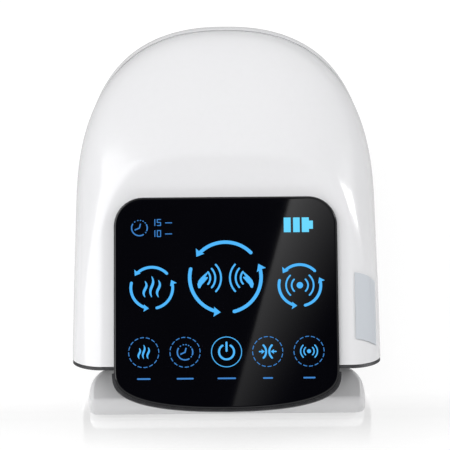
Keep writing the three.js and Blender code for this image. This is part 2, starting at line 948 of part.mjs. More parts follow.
footPlaces.forEach(([x, y], i) => {
  addPiece(`rubber_foot_${i + 1}`, geometryOf(rod("z", foot.radius, 0, foot.height, x, y)), finish.rubber);
});

// A screw with its head at the bottom, its shank upwards, and a cross slot
function screwAt(x, y, seatLevel) {
  const headLow = seatLevel - screw.headHeight;
  const slot = (width, depth) => block(width, depth, screw.crossDepth * 2, x, y, headLow);
  const shankLow = headLow + screw.crossDepth * 1.5;
  return cut(
    joined(
      rod("z", screw.headRadius, headLow, seatLevel, x, y, smallSides),
      rod("z", screw.shankRadius, shankLow, seatLevel + screw.shankLength, x, y, smallSides)
    ),
    slot(screw.crossReach * 2, screw.crossWidth),
    slot(screw.crossWidth, screw.crossReach * 2)
  );
}

const coverSeat = coverLow + coverScrew.recess - clearance;
coverScrewPlaces.forEach(([x, y], i) => {
  addPiece(`cover_screw_${i + 1}`, geometryOf(screwAt(x, y, coverSeat)), finish.steel);
});
chassisPostPlaces.forEach(([x, y], i) => {
  addPiece(`body_screw_${i + 1}`, geometryOf(screwAt(x, y, baseCeiling - clearance)), finish.steel);
});

// Chassis plate with posts down to the base, pegs up into the shell and board standoffs
const standoffPlaces = mirroredX([
  [mainBoard.width / 2 - mainBoard.edge, mainBoardY - mainBoard.length / 2 + mainBoard.edge],
  [mainBoard.width / 2 - mainBoard.edge, mainBoardY + mainBoard.length / 2 - mainBoard.edge],
]);
const chassisHalf = halfWidth - chassis.sideInset;
const chassisRear = rearRound - chassis.rearInset;
const chassisPlate = slab(
  podOutline(chassisHalf, chassisRear, -(halfLength - chassis.frontSetback)),
  chassisLow,
  chassisTop
);
const chassisPosts = chassisPostPlaces.map(([x, y]) =>
  cut(
    rod("z", chassis.postRadius, base.topLevel + clearance, chassisTop, x, y, smallSides),
    rod("z", screw.shankRadius + clearance, 0, base.topLevel + screw.shankLength, x, y, smallSides)
  )
);
const standoffs = standoffPlaces.map(([x, y]) =>
  rod("z", mainBoard.standoffRadius, chassisLow, chassisTop + mainBoard.standoff, x, y, smallSides)
);
const pegs = bossPlaces.map(([x, y]) =>
  rod("z", shellBoss.pegRadius, chassisLow, chassisTop + shellBoss.pegHeight, x, y, smallSides)
);
const stubPlace = (bag) => [airbagHalf * bag.stubX, legFrontY + linerLength * bag.stub];
const chassisHoles = [
  ...airbagShares.map((bag) => {
    const [x, y] = stubPlace(bag);
    return rod("z", airbag.stubRadius + clearance, 0, crownLevel, x, y, smallSides);
  }),
  rod("z", base.cablePortRadius, 0, crownLevel, cableX, cableY, smallSides),
];
addPiece(
  "chassis_plate",
  geometryOf(joined(cut(chassisPlate, ...chassisHoles), ...chassisPosts, ...standoffs, ...pegs)),
  finish.plastic
);

// Main board with its parts and buzzer
const partBase = boardLow + mainBoard.thickness / 2;
const chips = [...chipShares, plugShares].map((share) => {
  const height = chip.height * share.height;
  return block(
    mainBoard.width * share.width,
    mainBoard.length * share.length,
    height + mainBoard.thickness / 2,
    boardX(share.x),
    boardY(share.y),
    partBase + (height + mainBoard.thickness / 2) / 2
  );
});
const coilTop = boardHigh + chip.coilHeight;
const coils = coilShares.map((share) =>
  rod("z", chip.coilRadius, partBase, coilTop, boardX(share.x), boardY(share.y), smallSides)
);
const bareBoard = block(
  mainBoard.width,
  mainBoard.length,
  mainBoard.thickness,
  0,
  mainBoardY,
  boardLow + mainBoard.thickness / 2
);
addPiece("main_board", geometryOf(joined(bareBoard, ...chips, ...coils)), finish.board);
const buzzerLow = boardHigh + clearance;
const buzzerX = boardX(buzzerShares.x);
const buzzerY = boardY(buzzerShares.y);
addPiece(
  "buzzer",
  geometryOf(
    cut(
      rod("z", buzzer.radius, buzzerLow, buzzerLow + buzzer.height, buzzerX, buzzerY),
      rod("z", buzzer.holeRadius, buzzerLow + buzzer.height / 2, crownLevel, buzzerX, buzzerY, smallSides)
    )
  ),
  finish.part
);

// Flat cable from the touch board down to the main board
const ribbonStart = new THREE.Vector3(0, ribbonU, touchBottom - clearance)
  .applyAxisAngle(new THREE.Vector3(1, 0, 0), deckTilt)
  .add(new THREE.Vector3(0, deckLipY, deckLipLevel));
const ribbonEndY = boardY(ribbon.endShare);
const ribbonCurve = new THREE.CatmullRomCurve3([
  ribbonStart,
  new THREE.Vector3(0, ribbonStart.y + ribbon.slack / 2, ribbonStart.z - ribbon.slack * 2),
  new THREE.Vector3(0, ribbonEndY + ribbon.slack, (ribbonStart.z + boardHigh) / 2),
  new THREE.Vector3(0, ribbonEndY, boardHigh + clearance),
]);
const ribbonLine = ribbonCurve.getPoints(ribbon.steps);
const ribbonSides = [1, -1].map((side) =>
  ribbonLine.map((point, i) => {
    const tangent = ribbonCurve.getTangent(i / ribbon.steps);
    const reach = (side * ribbon.thickness) / 2;
    return new THREE.Vector2(point.y - tangent.z * reach, point.z + tangent.y * reach);
  })
);
addPiece(
  "panel_ribbon",
  geometryOf(sideSlab([...ribbonSides[0], ...ribbonSides[1].reverse()], -ribbon.width / 2, ribbon.width / 2)),
  finish.plastic
);

// Wire harness out of its plug, down the left side and in to the battery bay
const between = (from, to, share) => from + (to - from) * share;
const plugLeft = boardX(plugShares.x - plugShares.width / 2) - clearance;
const plugLevel = boardHigh + harness.plugRise;
const [firstOut, secondOut, thirdOut] = harness.outShares.map((share) => between(plugLeft, cableX, share));
const cableEnd = {
  x: -bayInnerWidth / 2 - battery.bayWall - clearance - harness.radius,
  y: battery.y - battery.length * harness.endShare,
  z: baseLow + harness.endRise,
};
const harnessRoute = [
  [plugLeft, cableY, plugLevel],
  [firstOut, cableY, plugLevel + harness.arch],
  [secondOut, cableY, plugLevel + harness.arch / 2],
  [thirdOut, cableY, plugLevel - harness.drop],
  [cableX, cableY, chassisLow - harness.drop],
  [cableX, cableY, (chassisLow + base.topLevel) / 2],
  [cableX, cableY, trimTop],
  ...harness.inShares.map((share) => [
    between(cableX, cableEnd.x, share),
    between(cableY, cableEnd.y, share),
    between(base.topLevel - harness.drop, cableEnd.z, share),
  ]),
  [cableEnd.x, cableEnd.y, cableEnd.z],
];
addPiece("wire_harness", tube(harnessRoute, harness.radius, harness.sides, harness.steps), finish.part);

// Air pump: motor, crank, housing, diaphragm and cap, in line along X
const motorRight = pump.motorLeft + pump.motorLength;
const housingLeft = motorRight + clearance;
const housingRight = housingLeft + pump.housingLength;
const shaftBore = pump.shaftRadius + clearance;
const shaftLeft = motorRight - pump.shaftGrip;
addPiece(
  "pump_motor",
  geometryOf(
    cut(
      rod("x", pump.motorRadius, pump.motorLeft, motorRight, pumpY, pumpZ),
      rod("x", shaftBore, shaftLeft - clearance, motorRight + overrun, pumpY, pumpZ, smallSides)
    )
  ),
  finish.steel
);
const discLeft = housingLeft + pump.housingWall + pump.discThickness / 2;
const discRight = discLeft + pump.discThickness;
const diaphragmLeft = housingRight + clearance;
const cupEnd = diaphragmLeft - pump.cupLength;
addPiece(
  "pump_crank",
  geometryOf(
    joined(
      rod("x", pump.shaftRadius, shaftLeft, discRight, pumpY, pumpZ, smallSides),
      rod("x", pump.discRadius, discLeft, discRight, pumpY, pumpZ),
      rod(
        "x",
        pump.pinRadius,
        discLeft,
        cupEnd - pump.rockerThickness - clearance,
        pumpY,
        pumpZ + pump.pinOffset,
        smallSides
      )
    )
  ),
  finish.brass
);
addPiece(
  "pump_housing",
  geometryOf(
    cut(
      rod("x", pump.housingRadius, housingLeft, housingRight, pumpY, pumpZ),
      rod("x", pump.housingBore, housingLeft + pump.housingWall, housingRight + overrun, pumpY, pumpZ),
      rod("x", shaftBore, housingLeft - overrun, housingRight, pumpY, pumpZ, smallSides)
    )
  ),
  finish.part
);
const diaphragmRight = diaphragmLeft + pump.diaphragmThickness;
const cups = [0, 1, 2].map((i) => {
  const angle = (Math.PI * 2 * i) / 3;
  return rod(
    "x",
    pump.cupRadius,
    cupEnd - pump.rockerThickness / 2,
    diaphragmRight,
    pumpY + pump.cupOffset * Math.cos(angle),
    pumpZ + pump.cupOffset * Math.sin(angle),
    smallSides
  );
});
addPiece(
  "pump_diaphragm",
  geometryOf(
    joined(
      rod("x", pump.housingRadius, diaphragmLeft, diaphragmRight, pumpY, pumpZ),
      rod("x", pump.rockerRadius, cupEnd - pump.rockerThickness, cupEnd, pumpY, pumpZ),
      ...cups
    )
  ),
  finish.rubber
);
const capLeft = diaphragmRight + clearance;
const capRight = capLeft + pump.capLength;
const nozzleRight = capRight + pump.nozzleLength;
const nozzleBoreLeft = capRight - pump.nozzleLength / 2;
addPiece(
  "pump_cap",
  geometryOf(
    cut(
      joined(
        rod("x", pump.housingRadius, capLeft, capRight, pumpY, pumpZ),
        rod("x", pump.nozzleRadius, capLeft, nozzleRight, pumpY, pumpZ, smallSides)
      ),
      rod("x", pump.nozzleRadius / 2, nozzleBoreLeft, nozzleRight + overrun, pumpY, pumpZ, smallSides)
    )
  ),
  finish.part
);
const cradleLow = chassisTop + clearance;
addPiece(
  "pump_cradle",
  geometryOf(
    cut(
      block(
        pump.cradleWidth,
        (pump.motorRadius + pump.cradleWall) * 2,
        pump.cradleHeight,
        (pump.motorLeft + motorRight) / 2,
        pumpY,
        cradleLow + pump.cradleHeight / 2
      ),
      rod("x", pump.motorRadius + clearance, pump.motorLeft - overrun, motorRight + overrun, pumpY, pumpZ)
    )
  ),
  finish.rubber
);

// Manifold with three ports towards the front and one towards the pump
const manifoldLeft = manifold.x - manifold.width / 2;
const manifoldFront = pumpY - manifold.depth / 2;
const manifoldPorts = [-1, 0, 1].map((i) => {
  const x = manifold.x + i * manifold.portPitch;
  return rod("y", manifold.portRadius, manifoldFront - manifold.portLength, pumpY, x, pumpZ, smallSides);
});
addPiece(
  "air_manifold",
  geometryOf(
    joined(
      block(manifold.width, manifold.depth, manifold.height, manifold.x, pumpY, pumpZ),
      block(
        manifold.pedestal,
        manifold.pedestal,
        pumpZ - cradleLow,
        manifold.x,
        pumpY,
        (cradleLow + pumpZ) / 2
      ),
      rod("x", manifold.portRadius, manifoldLeft - manifold.portLength, manifold.x, pumpY, pumpZ, smallSides),
      ...manifoldPorts
    )
  ),
  finish.plastic
);

// Hoses: one straight from pump to manifold, three curved down to the airbags
addPiece(
  "air_hose_main",
  geometryOf(
    cut(
      rod("x", hose.radius, capRight + clearance, manifoldLeft - clearance, pumpY, pumpZ, smallSides),
      rod("x", hose.bore, capRight - overrun, manifoldLeft + overrun, pumpY, pumpZ, smallSides)
    )
  ),
  finish.clearTube
);
const hoseLow = chassisTop + clearance * 2;
const hoseBend = hoseLow + hose.straight;
const portEndY = manifoldFront - clearance;
const hoseTurnY = portEndY - hose.endStraight;
airbagShares.forEach((bag, i) => {
  const [x, y] = stubPlace(bag);
  const portX = manifold.x + (1 - i) * manifold.portPitch;
  const bends = hoseShares[i].map(([across, along, up]) => [
    between(x, portX, across),
    between(y, hoseTurnY, along),
    between(hoseBend, pumpZ, up),
  ]);
  const route = [
    [x, y, hoseLow],
    [x, y, hoseBend],
    ...bends,
    [portX, hoseTurnY, pumpZ],
    [portX, (hoseTurnY + portEndY) / 2, pumpZ],
    [portX, portEndY, pumpZ],
  ];
  const body = tube(route, hose.radius, hose.sides, hose.steps, hose.bore);
  addPiece(`air_hose_${i + 1}`, body, finish.clearTube);
});

// Exhaust valves behind the manifold
const valveY = pumpY + manifold.depth / 2 + clearance + valve.depth / 2;
const valveTop = cradleLow + valve.height;
const headLow = valveTop + valve.springRoom;

// An open coil between the valve body and the plunger's head, which squeezes it
function coilSpring(x, y) {
  const low = valveTop + clearance + valve.wireRadius;
  const high = headLow - clearance - valve.wireRadius;
  const steps = Math.round(valve.turns * valve.turnSteps);
  const points = [];
  for (let i = 0; i <= steps; i += 1) {
    const angle = (Math.PI * 2 * valve.turns * i) / steps;
    const z = low + ((high - low) * i) / steps;
    points.push([x + valve.springRadius * Math.cos(angle), y + valve.springRadius * Math.sin(angle), z]);
  }
  return tube(points, valve.wireRadius, valve.wireSides, steps);
}

for (let i = 0; i < 2; i += 1) {
  const x = manifold.x + (i - 1 / 2) * valve.pitch;
  addPiece(
    `valve_body_${i + 1}`,
    geometryOf(
      cut(
        block(valve.width, valve.depth, valve.height, x, valveY, cradleLow + valve.height / 2),
        rod("z", valve.boreRadius, valveTop - valve.boreDepth, valveTop + overrun, x, valveY, smallSides)
      )
    ),
    finish.steel
  );
  addPiece(
    `valve_plunger_${i + 1}`,
    geometryOf(
      joined(
        rod(
          "z",
          valve.plungerRadius,
          valveTop - valve.boreDepth + valve.travel + clearance,
          headLow + valve.headThickness,
          x,
          valveY,
          smallSides
        ),
        rod("z", valve.headRadius, headLow, headLow + valve.headThickness, x, valveY)
      )
    ),
    finish.brass
  );
  addPiece(`valve_spring_${i + 1}`, coilSpring(x, valveY), finish.steel);
}

// Airbags between the lining and the chassis, each with a stub up through it
airbagShares.forEach((bag) => {
  const level = (share) => airbagLow + airbag.height * share;
  const front = legFrontY + linerLength * bag.front;
  const rear = legFrontY + linerLength * bag.rear;
  const corner = airbag.cornerRadius;
  const ring = (inset, z) =>
    ringAt(roundedOutline(airbagHalf - inset, front + inset, rear - inset, corner, corner), z);
  const pillow = stack([
    ring(airbag.edge, level(0)),
    ring(0, level(airbag.edgeShare)),
    ring(0, level(1 - airbag.edgeShare)),
    ring(airbag.edge, level(1)),
  ]);
  const [x, y] = stubPlace(bag);
  const stub = rod("z", airbag.stubRadius, level(1 / 2), level(1) + airbag.stubHeight, x, y, smallSides);
  addPiece(bag.name, geometryOf(pillow.add(stub)), finish.bag);
});

// Fabric lining of the hand space: a pocket open at the mouth
function linerForm(inset, frontY) {
  const rings = [];
  const low = linerLow + inset;
  const high = linerHigh - inset;
  const radius = liner.edgeRadius - inset;
  const outline = (pull) => {
    const half = linerHalf - inset - pull;
    const points = [new THREE.Vector2(-half, frontY), new THREE.Vector2(half, frontY)];
    const centre = linerRear - liner.rearRound;
    for (let i = 0; i <= archSteps / 2; i += 1) {
      const angle = (Math.PI * i * 2) / archSteps;
      points.push(
        new THREE.Vector2(half * Math.cos(angle), centre + (liner.rearRound - inset - pull) * Math.sin(angle))
      );
    }
    return points;
  };
  for (const [end, direction] of [
    [low, 1],
    [high, -1],
  ]) {
    const part = [];
    for (let i = 0; i <= liner.edgeSteps; i += 1) {
      const angle = (Math.PI / 2) * (i / liner.edgeSteps);
      const pull = radius * (1 - Math.sin(angle));
      part.push(ringAt(outline(pull), end + direction * radius * (1 - Math.cos(angle))));
    }
    rings.push(...(direction > 0 ? part : part.reverse()));
  }
  return stack(rings);
}

addPiece(
  "cavity_liner",
  geometryOf(cut(linerForm(0, formFront), linerForm(liner.wall, formFront - overrun), beforeRim(0))),
  finish.fabric
);

// Heating film and palm plate on the top of the base, under the lining
const padOutline = (pad) =>
  roundedOutline(
    linerHalf - pad.sideGap,
    legFrontY + pad.frontGap,
    linerRear - pad.rearGap,
    pad.cornerRadius,
    pad.cornerRadius
  );
addPiece("heating_film", geometryOf(slab(padOutline(film), filmLow, filmLow + film.thickness)), finish.film);
const palmFront = legFrontY + palm.frontGap;
const palmRear = linerRear - palm.rearGap;
const nubs = [];
for (let y = palmFront + palm.nubPitchY; y < palmRear - palm.nubPitchY / 2; y += palm.nubPitchY) {
  for (let i = -palm.nubColumns; i <= palm.nubColumns; i += 1) {
    const x = ((linerHalf - palm.sideGap - palm.nubMargin) * i) / palm.nubColumns;
    nubs.push(rod("z", palm.nubRadius, palmLow, palmTop + palm.nubHeight, x, y, palm.nubSides));
  }
}
addPiece("palm_plate", geometryOf(joined(slab(padOutline(palm), palmLow, palmTop), ...nubs)), finish.plastic);

// Vibration motors with off-centre weights, clamped in the base
for (const [i, side] of [-1, 1].entries()) {
  const spanX = (near, far) => (side > 0 ? [near, far] : [-far, -near]);
  const canEnd = shaker.x + shaker.canLength;
  const boreStart = canEnd - shaker.shaftGrip - clearance;
  const weightStart = canEnd + shaker.weightGap;
  const weightEnd = weightStart + shaker.weightLength;
  const along = (radius, near, far, sides) =>
    rod("x", radius, ...spanX(near, far), shaker.y, shaker.level, sides);
  addPiece(
    `vibration_motor_${i + 1}`,
    geometryOf(
      cut(
        along(shaker.canRadius, shaker.x, canEnd, rodSides),
        along(shaker.shaftRadius + clearance, boreStart, canEnd + overrun, smallSides)
      )
    ),
    finish.steel
  );
  const halfDisc = along(shaker.weightRadius, weightStart, weightEnd, rodSides).intersect(
    block(
      halfWidth * 4,
      shaker.weightRadius * 4,
      shaker.weightRadius * 2,
      0,
      shaker.y,
      shaker.level - shaker.weightRadius
    )
  );
  addPiece(
    `vibration_weight_${i + 1}`,
    geometryOf(
      joined(
        halfDisc,
        along(shaker.hubRadius, weightStart, weightEnd, smallSides),
        along(shaker.shaftRadius, canEnd - shaker.shaftGrip, weightEnd, smallSides)
      )
    ),
    finish.brass
  );
  const clampStart = shaker.x + (shaker.canLength - shaker.clampLength) / 2;
  const clampEnd = clampStart + shaker.clampLength;
  const clampRadius = shaker.canRadius + clearance + shaker.clampWall;
  const clampMiddle = (side * (clampStart + clampEnd)) / 2;
  const upper = block(
    shaker.clampLength,
    clampRadius * 2,
    shaker.level + clampRadius - baseLow,
    clampMiddle,
    shaker.y,
    (shaker.level + clampRadius + baseLow) / 2
  );
  const flange = block(
    shaker.clampLength,
    (clampRadius + shaker.clampFlange) * 2,
    shaker.clampWall,
    clampMiddle,
    shaker.y,
    baseLow + shaker.clampWall / 2
  );
  const legs = block(
    shaker.clampLength,
    clampRadius * 2,
    shaker.level - baseLow,
    clampMiddle,
    shaker.y,
    (shaker.level + baseLow) / 2
  );
  addPiece(
    `vibration_clamp_${i + 1}`,
    geometryOf(
      cut(
        joined(along(clampRadius, clampStart, clampEnd, rodSides).intersect(upper), legs, flange),
        along(shaker.canRadius + clearance, clampStart - overrun, clampEnd + overrun, rodSides),
        block(
          shaker.clampLength * 2,
          (shaker.canRadius + clearance) * 2,
          shaker.level - baseLow + clearance,
          clampMiddle,
          shaker.y,
          (shaker.level + baseLow - clearance) / 2
        )
      )
    ),
    finish.steel
  );
}

// Battery cells in their bay
const cellLow = coverTop + clearance;
for (const [i, side] of [-1, 1].entries()) {
  const outline = roundedOutline(
    cellWidth / 2,
    battery.y - battery.length / 2,
    battery.y + battery.length / 2,
    battery.cornerRadius,
    battery.cornerRadius
  ).map((p) => new THREE.Vector2(p.x + side * cellX, p.y));
  const cell = slab(outline, cellLow, cellLow + battery.height);
  addPiece(`battery_cell_${i + 1}`, geometryOf(cell), finish.cell);
}
// Charge socket on its small board, behind the rear wall of the base
const socketMouthY = socketY - socket.recess;
const socketLow = socket.level - socket.height / 2;
const socketBody = cut(
  block(socket.width, socket.depth, socket.height, 0, socketMouthY - socket.depth / 2, socket.level),
  block(socket.boreWidth, socket.depth, socket.boreHeight, 0, socketMouthY, socket.level)
);
const socketPlate = block(
  socketBoard.width,
  socketBoard.depth,
  socketBoard.thickness,
  0,
  socketY - base.wall - clearance - socketBoard.setback - socketBoard.depth / 2,
  socketLow + socketBoard.solder - socketBoard.thickness / 2
);
addPiece("charge_socket", geometryOf(joined(socketBody, socketPlate)), finish.steel);

export default massager;
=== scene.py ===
# %% [markdown]
# # A table-top hand massager, built piece by piece
# The object is a white helmet-shaped shell on a low base. A sloping black touch panel overhangs
# the mouth that a hand goes into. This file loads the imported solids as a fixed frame, and then
# makes each visible piece again with a finer surface and a procedural finish. Every length is
# worked out in millimetres and turned into metres where a mesh is made.

import json
import math

import bmesh
import bpy
import numpy as np
from mathutils import Matrix, Vector

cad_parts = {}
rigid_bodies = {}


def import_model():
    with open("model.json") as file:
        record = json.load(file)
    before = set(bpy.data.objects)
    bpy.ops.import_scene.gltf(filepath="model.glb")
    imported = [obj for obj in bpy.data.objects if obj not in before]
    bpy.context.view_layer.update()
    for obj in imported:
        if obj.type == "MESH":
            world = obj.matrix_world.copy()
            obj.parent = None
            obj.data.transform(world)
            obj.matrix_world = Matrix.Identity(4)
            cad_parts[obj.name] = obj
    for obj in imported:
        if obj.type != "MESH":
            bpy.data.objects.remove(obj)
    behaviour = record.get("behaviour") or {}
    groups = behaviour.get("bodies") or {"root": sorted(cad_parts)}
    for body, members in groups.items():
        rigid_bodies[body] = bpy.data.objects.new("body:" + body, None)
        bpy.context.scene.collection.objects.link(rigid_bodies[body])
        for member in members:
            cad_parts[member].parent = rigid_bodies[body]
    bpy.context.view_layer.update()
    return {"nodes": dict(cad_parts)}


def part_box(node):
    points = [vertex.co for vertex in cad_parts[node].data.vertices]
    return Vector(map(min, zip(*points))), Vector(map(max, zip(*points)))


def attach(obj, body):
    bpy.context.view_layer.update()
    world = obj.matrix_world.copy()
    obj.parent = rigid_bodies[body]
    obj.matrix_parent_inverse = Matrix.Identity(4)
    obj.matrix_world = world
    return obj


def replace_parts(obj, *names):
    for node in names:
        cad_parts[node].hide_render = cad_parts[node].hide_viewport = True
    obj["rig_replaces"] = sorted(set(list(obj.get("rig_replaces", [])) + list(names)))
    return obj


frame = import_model()
nodes = frame["nodes"]
scene = bpy.context.scene
scene.view_settings.view_transform = "Standard"
MM = 0.001
BODY = "housing"

# %% [markdown]
# ## The camera
# The photograph looks down at 60 degrees from straight in front, with a long lens, so that the
# two sides of the shell run almost parallel. The camera could be placed by eye; here its height,
# distance and lens come from fitting known widths at known heights, and a small shift puts the
# object at the same place in a square frame.

# %% Make the camera
IMAGE_PIXELS = 450
LENS_PIXELS = 2400
SENSOR = 36.0
VIEW_ELEVATION = math.radians(60.3)
VIEW_DISTANCE = 1.444
AIM = Vector((0.0, -0.0045, 0.050))
AIM_PIXEL = (225.6, 242.8)
ROLL = math.radians(-0.5)

lens = bpy.data.cameras.new("photo_view")
lens.sensor_width = SENSOR
lens.lens = SENSOR * LENS_PIXELS / IMAGE_PIXELS
lens.shift_x = (IMAGE_PIXELS / 2 - AIM_PIXEL[0]) / IMAGE_PIXELS
lens.shift_y = (AIM_PIXEL[1] - IMAGE_PIXELS / 2) / IMAGE_PIXELS
lens.clip_end = 20.0
camera = bpy.data.objects.new("photo_view", lens)
scene.collection.objects.link(camera)
towards = Vector((0.0, -math.cos(VIEW_ELEVATION), math.sin(VIEW_ELEVATION)))
camera.location = AIM + VIEW_DISTANCE * towards
turned = Matrix.Rotation(math.pi / 2 - VIEW_ELEVATION, 3, "X") @ Matrix.Rotation(ROLL, 3, "Z")
camera.rotation_euler = turned.to_euler()
scene.camera = camera
print("lens", round(lens.lens, 1), "mm")

# %% [markdown]
# ## Turning arrays into pieces
# Each surface below is an array of points with rows and columns. One helper joins neighbours with
# four-sided faces, one welds and orients the mesh, and one finishes it: a wall from Solidify, a
# small round on its edges from Bevel, and the body it rides on.


# %% Mesh helpers
def grid_faces(rows, columns, closed=False):
    """Four-sided faces between neighbours of a grid: point (r, c) has the number r * columns + c.
    A closed grid also joins its last column to its first."""
    index = np.arange(rows * columns).reshape(rows, columns)
    if closed:
        index = np.concatenate([index, index[:, :1]], axis=1)
    corners = [index[:-1, :-1], index[:-1, 1:], index[1:, 1:], index[1:, :-1]]
    return np.stack(corners, axis=-1).reshape(-1, 4)


WELD = 1e-6
SHARP, SOFT_SHARP = 38.0, 60.0
BEVEL_FROM = math.radians(50)


def new_mesh(name, points, faces, sharp=SHARP):
    """Mesh from points in millimetres, doubles merged and normals turned outwards: the sum of
    area times normal times place, taken from the middle, is positive when faces look out."""
    mesh = bpy.data.meshes.new(name)
    mesh.from_pydata((np.asarray(points, float) * MM).tolist(), [], [list(map(int, f)) for f in faces])
    work = bmesh.new()
    work.from_mesh(mesh)
    bmesh.ops.remove_doubles(work, verts=work.verts, dist=WELD)
    bmesh.ops.dissolve_degenerate(work, edges=work.edges, dist=WELD)
    bmesh.ops.recalc_face_normals(work, faces=work.faces)
    middle = sum((v.co for v in work.verts), Vector()) / len(work.verts)
    outward = sum(f.calc_area() * f.normal.dot(f.calc_center_median() - middle) for f in work.faces)
    if outward < 0:
        bmesh.ops.reverse_faces(work, faces=work.faces)
    work.to_mesh(mesh)
    work.free()
    mesh.shade_smooth()
    mesh.set_sharp_from_angle(angle=math.radians(sharp))
    return mesh


def grid_mesh(name, points, closed=False, sharp=SHARP):
    """Mesh of a whole grid of points; a closed grid joins its last column to its first."""
    return new_mesh(name, points.reshape(-1, 3), grid_faces(*points.shape[:2], closed), sharp)


def add_piece(name, mesh, replaced=(), wall=0.0, edge=0.0, body=BODY, edge_steps=2):
    """Object for a finished mesh, at the origin: its wall grows inwards and its edges are rounded."""
    piece = bpy.data.objects.new(name, mesh)
    scene.collection.objects.link(piece)
    if wall:
        skin = piece.modifiers.new("wall", "SOLIDIFY")
        skin.thickness = wall * MM
        skin.offset = -1.0
    if edge:
        rounding = piece.modifiers.new("edges", "BEVEL")
        rounding.width = edge * MM
        rounding.segments = edge_steps
        rounding.limit_method = "ANGLE"
        rounding.angle_limit = BEVEL_FROM
        rounding.harden_normals = True
    if replaced:
        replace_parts(piece, *replaced)
    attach(piece, body)
    print("made", name, len(mesh.polygons), "faces")
    return piece


def loft(loops, cap_first=True, cap_last=True):
    """Closed body from loops of equal point count: one row per loop, and a flat cap at each end."""
    loops = np.asarray(loops, float)
    rows, columns = loops.shape[:2]
    faces = grid_faces(rows, columns, closed=True).tolist()
    if cap_first:
        faces.append(list(range(columns))[::-1])
    if cap_last:
        faces.append(list(range((rows - 1) * columns, rows * columns)))
    return loops.reshape(-1, 3), faces


def smooth_step(t):
    """0 below 0, 1 above 1, and 3t^2 - 2t^3 between them."""
    t = np.clip(t, 0.0, 1.0)
    return t * t * (3.0 - 2.0 * t)


def signed_power(values, power):
    """|value| to a power, with the value's sign, which turns a circle into a superellipse."""
    return np.sign(values) * np.abs(values) ** power


MIRROR = np.array([-1.0, 1.0])

# %% [markdown]
# ## The form of the body
# The real shell is injection moulded in two glossy white pieces. Seen from the side and the front
# it is one squarish dome, so its outline at each height can be the outline at the waist times a
# reach between 0 and 1. Above the waist reach and height follow a superellipse, below it they tuck
# in towards the rim. The outline itself has straight sides and a superellipse arc at the rear. The
# panel's sloping deck is a lid: the surface is the lower one of dome and lid, blended over a few
# millimetres, as a moulded edge is. Beside the panel the lid falls away to the walls as an ellipse.

# %% Sizes of the body
HALF_WIDTH = 89.5
CROWN = 119.46
WAIST = 43.4
RIM = 24.0
REAR_ROUND = 115.0
REAR_CENTRE = 12.0
TUCK = 45.0
DOME_ORDER = 3.78
PLAN_ORDER = 2.38
TUCK_ORDER = 2.2
SHELL_WALL = 2.4
LEG_FRONT = -72.6
LEAN_ANGLE = math.radians(28.1)
LEAN = math.tan(LEAN_ANGLE)
LEAN_COS = math.cos(LEAN_ANGLE)
TILT = math.radians(19.4)
TILT_COS, TILT_SIN, TILT_TAN = math.cos(TILT), math.sin(TILT), math.tan(TILT)
FRONT_Y, LIP_LEVEL = -127.0, 70.0
PANEL_LOW = -1.6
FLANGE_TOP = 2.0
DECK_LIP = np.array([0.0, FRONT_Y - PANEL_LOW * TILT_COS + FLANGE_TOP * TILT_SIN, LIP_LEVEL])


def on_deck(x, u, h):
    """Place of a point of the panel's frame: x across, u up the slope from the lip, h square to it."""
    x, u, h = np.broadcast_arrays(x, u, h)
    y = DECK_LIP[1] + u * TILT_COS - h * TILT_SIN
    z = DECK_LIP[2] + u * TILT_SIN + h * TILT_COS
    return np.stack([x, y, z], axis=-1).astype(float)


def rim_y(z, forward=0.0):
    """How far forward the leaning mouth plane is at a height, moved ahead by a distance square to it."""
    return LEG_FRONT - (z - RIM) * LEAN - forward / LEAN_COS


# %% Wall profile by arc length
TUCK_SAMPLES = 40
DOME_SAMPLES = 900
low_levels = np.linspace(RIM, WAIST, TUCK_SAMPLES)[:-1]
low_reach = (1.0 - ((WAIST - low_levels) / TUCK) ** TUCK_ORDER) ** (1.0 / TUCK_ORDER)
turn = np.linspace(0.0, math.pi / 2, DOME_SAMPLES)
high_levels = WAIST + (CROWN - WAIST) * np.sin(turn) ** (2.0 / DOME_ORDER)
high_reach = np.abs(np.cos(turn)) ** (2.0 / DOME_ORDER)
wall_level = np.concatenate([low_levels, high_levels])
wall_reach = np.concatenate([low_reach, high_reach])
wall_reach[-1] = 0.0
steps = np.hypot(np.diff(wall_level), HALF_WIDTH * np.diff(wall_reach))
wall_run = np.concatenate([[0.0], np.cumsum(steps)])
WAIST_RUN = wall_run[TUCK_SAMPLES - 1]


def run_at_reach(reach):
    """Arc length along the upper wall at which the reach has a value."""
    upper = slice(TUCK_SAMPLES - 1, None)
    return np.interp(-np.asarray(reach), -wall_reach[upper], wall_run[upper])


print("wall length from rim to crown", round(float(wall_run[-1]), 1), "mm")

# %% Lid over the dome: deck and shoulders
SHOULDER_SPREAD = 23.1
SHOULDER_DEPTH = 20.0
SHOULDER_RISE = 0.3
CREASE_SOFT = 0.5
EDGE_SOFT = 3.0
EDGE_SOFT_SIDE = 7.0
EDGE_SOFT_LIMIT = 16.0
REACH_LIMIT = 0.9995


def rounded_box_distance(x, u, half, top, corner):
    """Signed distance in a plane from a box with round upper corners that runs on downwards."""
    across = np.abs(x) - (half - corner)
    along = u - (top - corner)
    outside = np.hypot(np.maximum(across, 0.0), np.maximum(along, 0.0))
    return outside + np.minimum(np.maximum(across, along), 0.0) - corner


def shoulder_fall(x):
    """How far the shoulder lies below the deck: a quarter ellipse that starts a little above it. The
    lower one of deck and ellipse is taken, softened over their shallow crossing."""
    share = np.clip((np.abs(x) - (HALF_WIDTH - SHOULDER_SPREAD)) / SHOULDER_SPREAD, 0.0, 1.0)
    fall = SHOULDER_DEPTH * (1.0 - np.sqrt(1.0 - share * share)) - SHOULDER_RISE
    near = np.maximum(CREASE_SOFT - np.abs(fall), 0.0)
    return np.maximum(fall, 0.0) + near * near / (4.0 * CREASE_SOFT)


